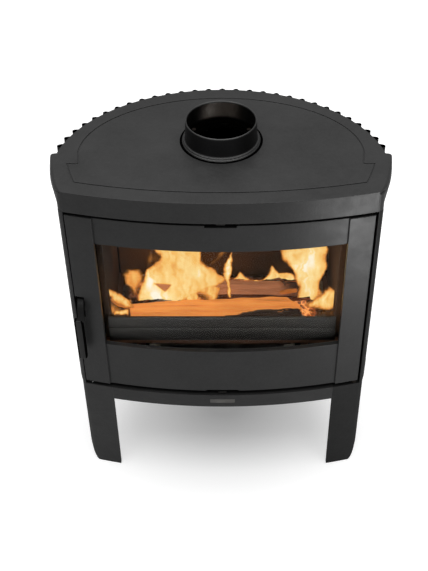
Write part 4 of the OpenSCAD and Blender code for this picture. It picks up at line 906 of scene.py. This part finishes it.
class STOVE_OT_embers(bpy.types.Operator):
    """Spread the bed of ash and embers: crossed sines for its height, lowered towards its rim"""
    bl_idname = "stove.embers"
    bl_label = "Embers"

    def execute(self, context):
        fire = context.scene.stove_fire
        top = HEARTH_TOP + 0.3
        half, near, far = 236, 77, 284
        x, y = np.meshgrid(np.linspace(-half, half, 190), np.linspace(near, far, 90))
        rim = np.minimum(half - np.abs(x), np.minimum(y - near, far - y))
        height = 9 + 4 * ripple(x, y, 0.05, 1.0, 3) + 3.5 * np.abs(ripple(x, y, 0.16, 3.0, 3))
        height = 0.6 + np.clip(height, 1, 24) * smoothstep(-2, 26, rim)
        heat = np.clip(0.5 + 0.5 * ripple(x, y, 0.03, 7.0, 3), 0, 1) * smoothstep(5, 60, rim)
        upper, lower = at(x, y, top + height), at(x, y, top)
        quads = grid_faces(*x.shape)
        n = x.size
        number = np.arange(n).reshape(x.shape)
        rim_line = np.concatenate([number[0, :-1], number[:-1, -1], number[-1, :0:-1], number[:0:-1, 0]])
        after = np.roll(rim_line, -1)
        wall = np.stack([rim_line, rim_line + n, after + n, after], axis=1)
        points = np.concatenate([upper.reshape(-1, 3), lower.reshape(-1, 3)])
        quads = np.concatenate([quads, quads[:, ::-1] + n, wall])
        material = live_embers("Ember Bed", fire.ash, (0.012, 0.010, 0.009), fire.ember_glow)
        put_mesh("ember_bed", points, quads, material=material, values=dict(warmth=np.tile(heat.ravel(), 2)))
        return {"FINISHED"}


class STOVE_OT_handle(bpy.types.Operator):
    """Shape the handle's grip: a rectangle with round corners and ends, and a slight swell in its middle"""
    bl_idname = "stove.handle"
    bl_label = "Handle"

    def execute(self, context):
        size, finish = context.scene.stove_sizes, context.scene.stove_finish
        low, high = GRIP_LOW, GRIP_HIGH
        middle, half = (low + high) / 2, (high - low) / 2
        corner = size.grip_corner
        t = np.radians(np.linspace(0, 360, 97)[:-1])
        circle = np.stack([np.cos(t), np.sin(t)], axis=1)
        section = np.sign(circle) * [half.x - corner, half.y - corner] + corner * circle
        bend = np.radians(np.linspace(0, 90, 8))
        soft = 2.5 * MM
        draw_in = np.concatenate([soft * (1 - np.sin(bend)), np.zeros(20), soft * (1 - np.cos(bend))])
        straight = np.linspace(low.z + soft, high.z - soft, 22)[1:-1]
        z = np.concatenate([low.z + soft * (1 - np.cos(bend)), straight, high.z - soft + soft * np.sin(bend)])
        scale = 1 - draw_in[:, None] / np.array([half.x, half.y])
        swell = 1 - 0.05 * ((z - middle.z) / half.z) ** 4
        rings = np.stack([middle.x + section[None, :, 0] * scale[:, 0:1] * swell[:, None],
                          middle.y + section[None, :, 1] * scale[:, 1:2],
                          np.repeat(z[:, None], len(t), axis=1)], axis=-1)
        material = cast_iron("Grip Iron", finish.iron, rough=0.4, grain=0.6, edge=0.5 * MM, wear=0.1,
                             painted_shade="painted_shade")
        # Painted shade: the grip's faces towards its left and right edges are painted dull black
        dark = np.broadcast_to(smoothstep(0.55, 0.68, np.abs(section[:, 0]) / half.x), rings.shape[:2])
        piece = put_mesh("grip", *closed_tube(rings), body="handle", material=material, slot="grip",
                         values=dict(painted_shade=np.concatenate([dark.ravel(), [0.0, 0.0]])))
        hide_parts("handle_grip")
        return {"FINISHED"}


class STOVE_OT_stage(bpy.types.Operator):
    """Set up the floor, the lights and the camera"""
    bl_idname = "stove.stage"
    bl_label = "Stage"

    def execute(self, context):
        scene = context.scene
        scene.view_settings.view_transform = "Standard"
        s = Shader("Pale Floor Painted Shadow")
        # Painted shadow: the floor's own white is lower near the stove and rises away from it
        away = s.distance(s.where(scale=(2.6, 3.0, 0)))
        glow = s.sum("MULTIPLY", s.seen(), s.span(away, 0.1, 1.2, 0.24, 0.75))
        tone = s.mix(s.noise(1.3, 2.0), (0.66, 0.66, 0.66), (0.68, 0.68, 0.68))
        floor_finish = s.finish(Base_Color=tone, Roughness=0.9, Specular_IOR_Level=0.1,
                                Emission_Color=(1, 1, 1, 1), Emission_Strength=glow)
        x, y = np.meshgrid(np.linspace(-9, 9, 19), np.linspace(-9, 9, 19))
        floor = put_mesh("floor", np.stack([x, y, np.full_like(x, -0.0005)], axis=-1), grid_faces(*x.shape),
                         closed=False, body=None, material=floor_finish)

        world = bpy.data.worlds.new("Studio")
        scene.world = world
        world.use_nodes = True
        w = Nodes(world.node_tree)
        w.tree.nodes.clear()
        white = w.add("Background", Color=(1, 1, 1, 1), Strength=1.0).outputs[0]
        soft = w.add("Background", Color=(1, 1, 1, 1), Strength=0.25).outputs[0]
        w.add("OutputWorld", Surface=w.add("MixShader", _0=w.seen(), _1=soft, _2=white).outputs[0])

        def lamp(name, place, target, wide, high, power):
            """Area lamp that looks from its place at a target."""
            data = bpy.data.lights.new(name, "AREA")
            data.shape = "RECTANGLE"
            data.size, data.size_y, data.energy = wide, high, power
            holder = bpy.data.objects.new(name, data)
            scene.collection.objects.link(holder)
            holder.location = place
            holder.visible_camera = False
            aim = [t - p for t, p in zip(target, place)]
            flat = math.hypot(aim[0], aim[1])
            holder.rotation_euler = (math.atan2(flat, -aim[2]), 0, math.atan2(-aim[0], aim[1]))
            return holder

        lamp("overhead", (0.0, -0.1, 3.2), (0.0, 0.0, 0.4), 3.2, 3.2, 95)
        lamp("right", (0.68, -0.78, 0.22), (0.48, -0.43, 1.22), 0.30, 0.24, 3.8)

        camera_data = bpy.data.cameras.new("camera")
        camera_data.sensor_width = SENSOR
        camera_data.lens = FOCAL * SENSOR / PHOTO_HIGH
        camera_data.shift_x = -(AXIS - PHOTO_WIDE / 2) / PHOTO_HIGH
        camera = bpy.data.objects.new("camera", camera_data)
        scene.collection.objects.link(camera)
        camera.location = (CAMERA_RIGHT, FRONT - CAMERA_BEFORE, CAMERA_OVER)
        camera.rotation_euler = (math.radians(90 - LOOK_DOWN), 0, 0)
        scene.camera = camera
        return {"FINISHED"}


OPERATORS = (STOVE_OT_castings, STOVE_OT_flutes, STOVE_OT_collar, STOVE_OT_logs, STOVE_OT_flames,
             STOVE_OT_embers, STOVE_OT_handle, STOVE_OT_stage)


class STOVE_PT_panel(bpy.types.Panel):
    """The stove's pieces and stage"""
    bl_idname = "STOVE_PT_panel"
    bl_label = "Stove"
    bl_space_type = "VIEW_3D"
    bl_region_type = "UI"
    bl_category = "Stove"

    def draw(self, context):
        for group in (context.scene.stove_sizes, context.scene.stove_fire, context.scene.stove_finish):
            column = self.layout.column()
            for key in group.__annotations__:
                column.prop(group, key)
        for operator in OPERATORS:
            self.layout.operator(operator.bl_idname)


GROUPS = (("stove_sizes", StoveSizes), ("stove_fire", StoveFire), ("stove_finish", StoveFinish))


def register():
    """Register the classes and hang the settings on the scene."""
    for _, group in GROUPS:
        bpy.utils.register_class(group)
    for key, group in GROUPS:
        setattr(bpy.types.Scene, key, bpy.props.PointerProperty(type=group))
    for operator in OPERATORS:
        bpy.utils.register_class(operator)
    bpy.utils.register_class(STOVE_PT_panel)


def unregister():
    """Take the settings and the classes away again."""
    bpy.utils.unregister_class(STOVE_PT_panel)
    for operator in reversed(OPERATORS):
        bpy.utils.unregister_class(operator)
    for key, group in reversed(GROUPS):
        delattr(bpy.types.Scene, key)
        bpy.utils.unregister_class(group)


def main():
    """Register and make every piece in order."""
    register()
    for operator in OPERATORS:
        getattr(bpy.ops.stove, operator.bl_idname.split(".")[1])()


if __name__ == "__main__":
    main()
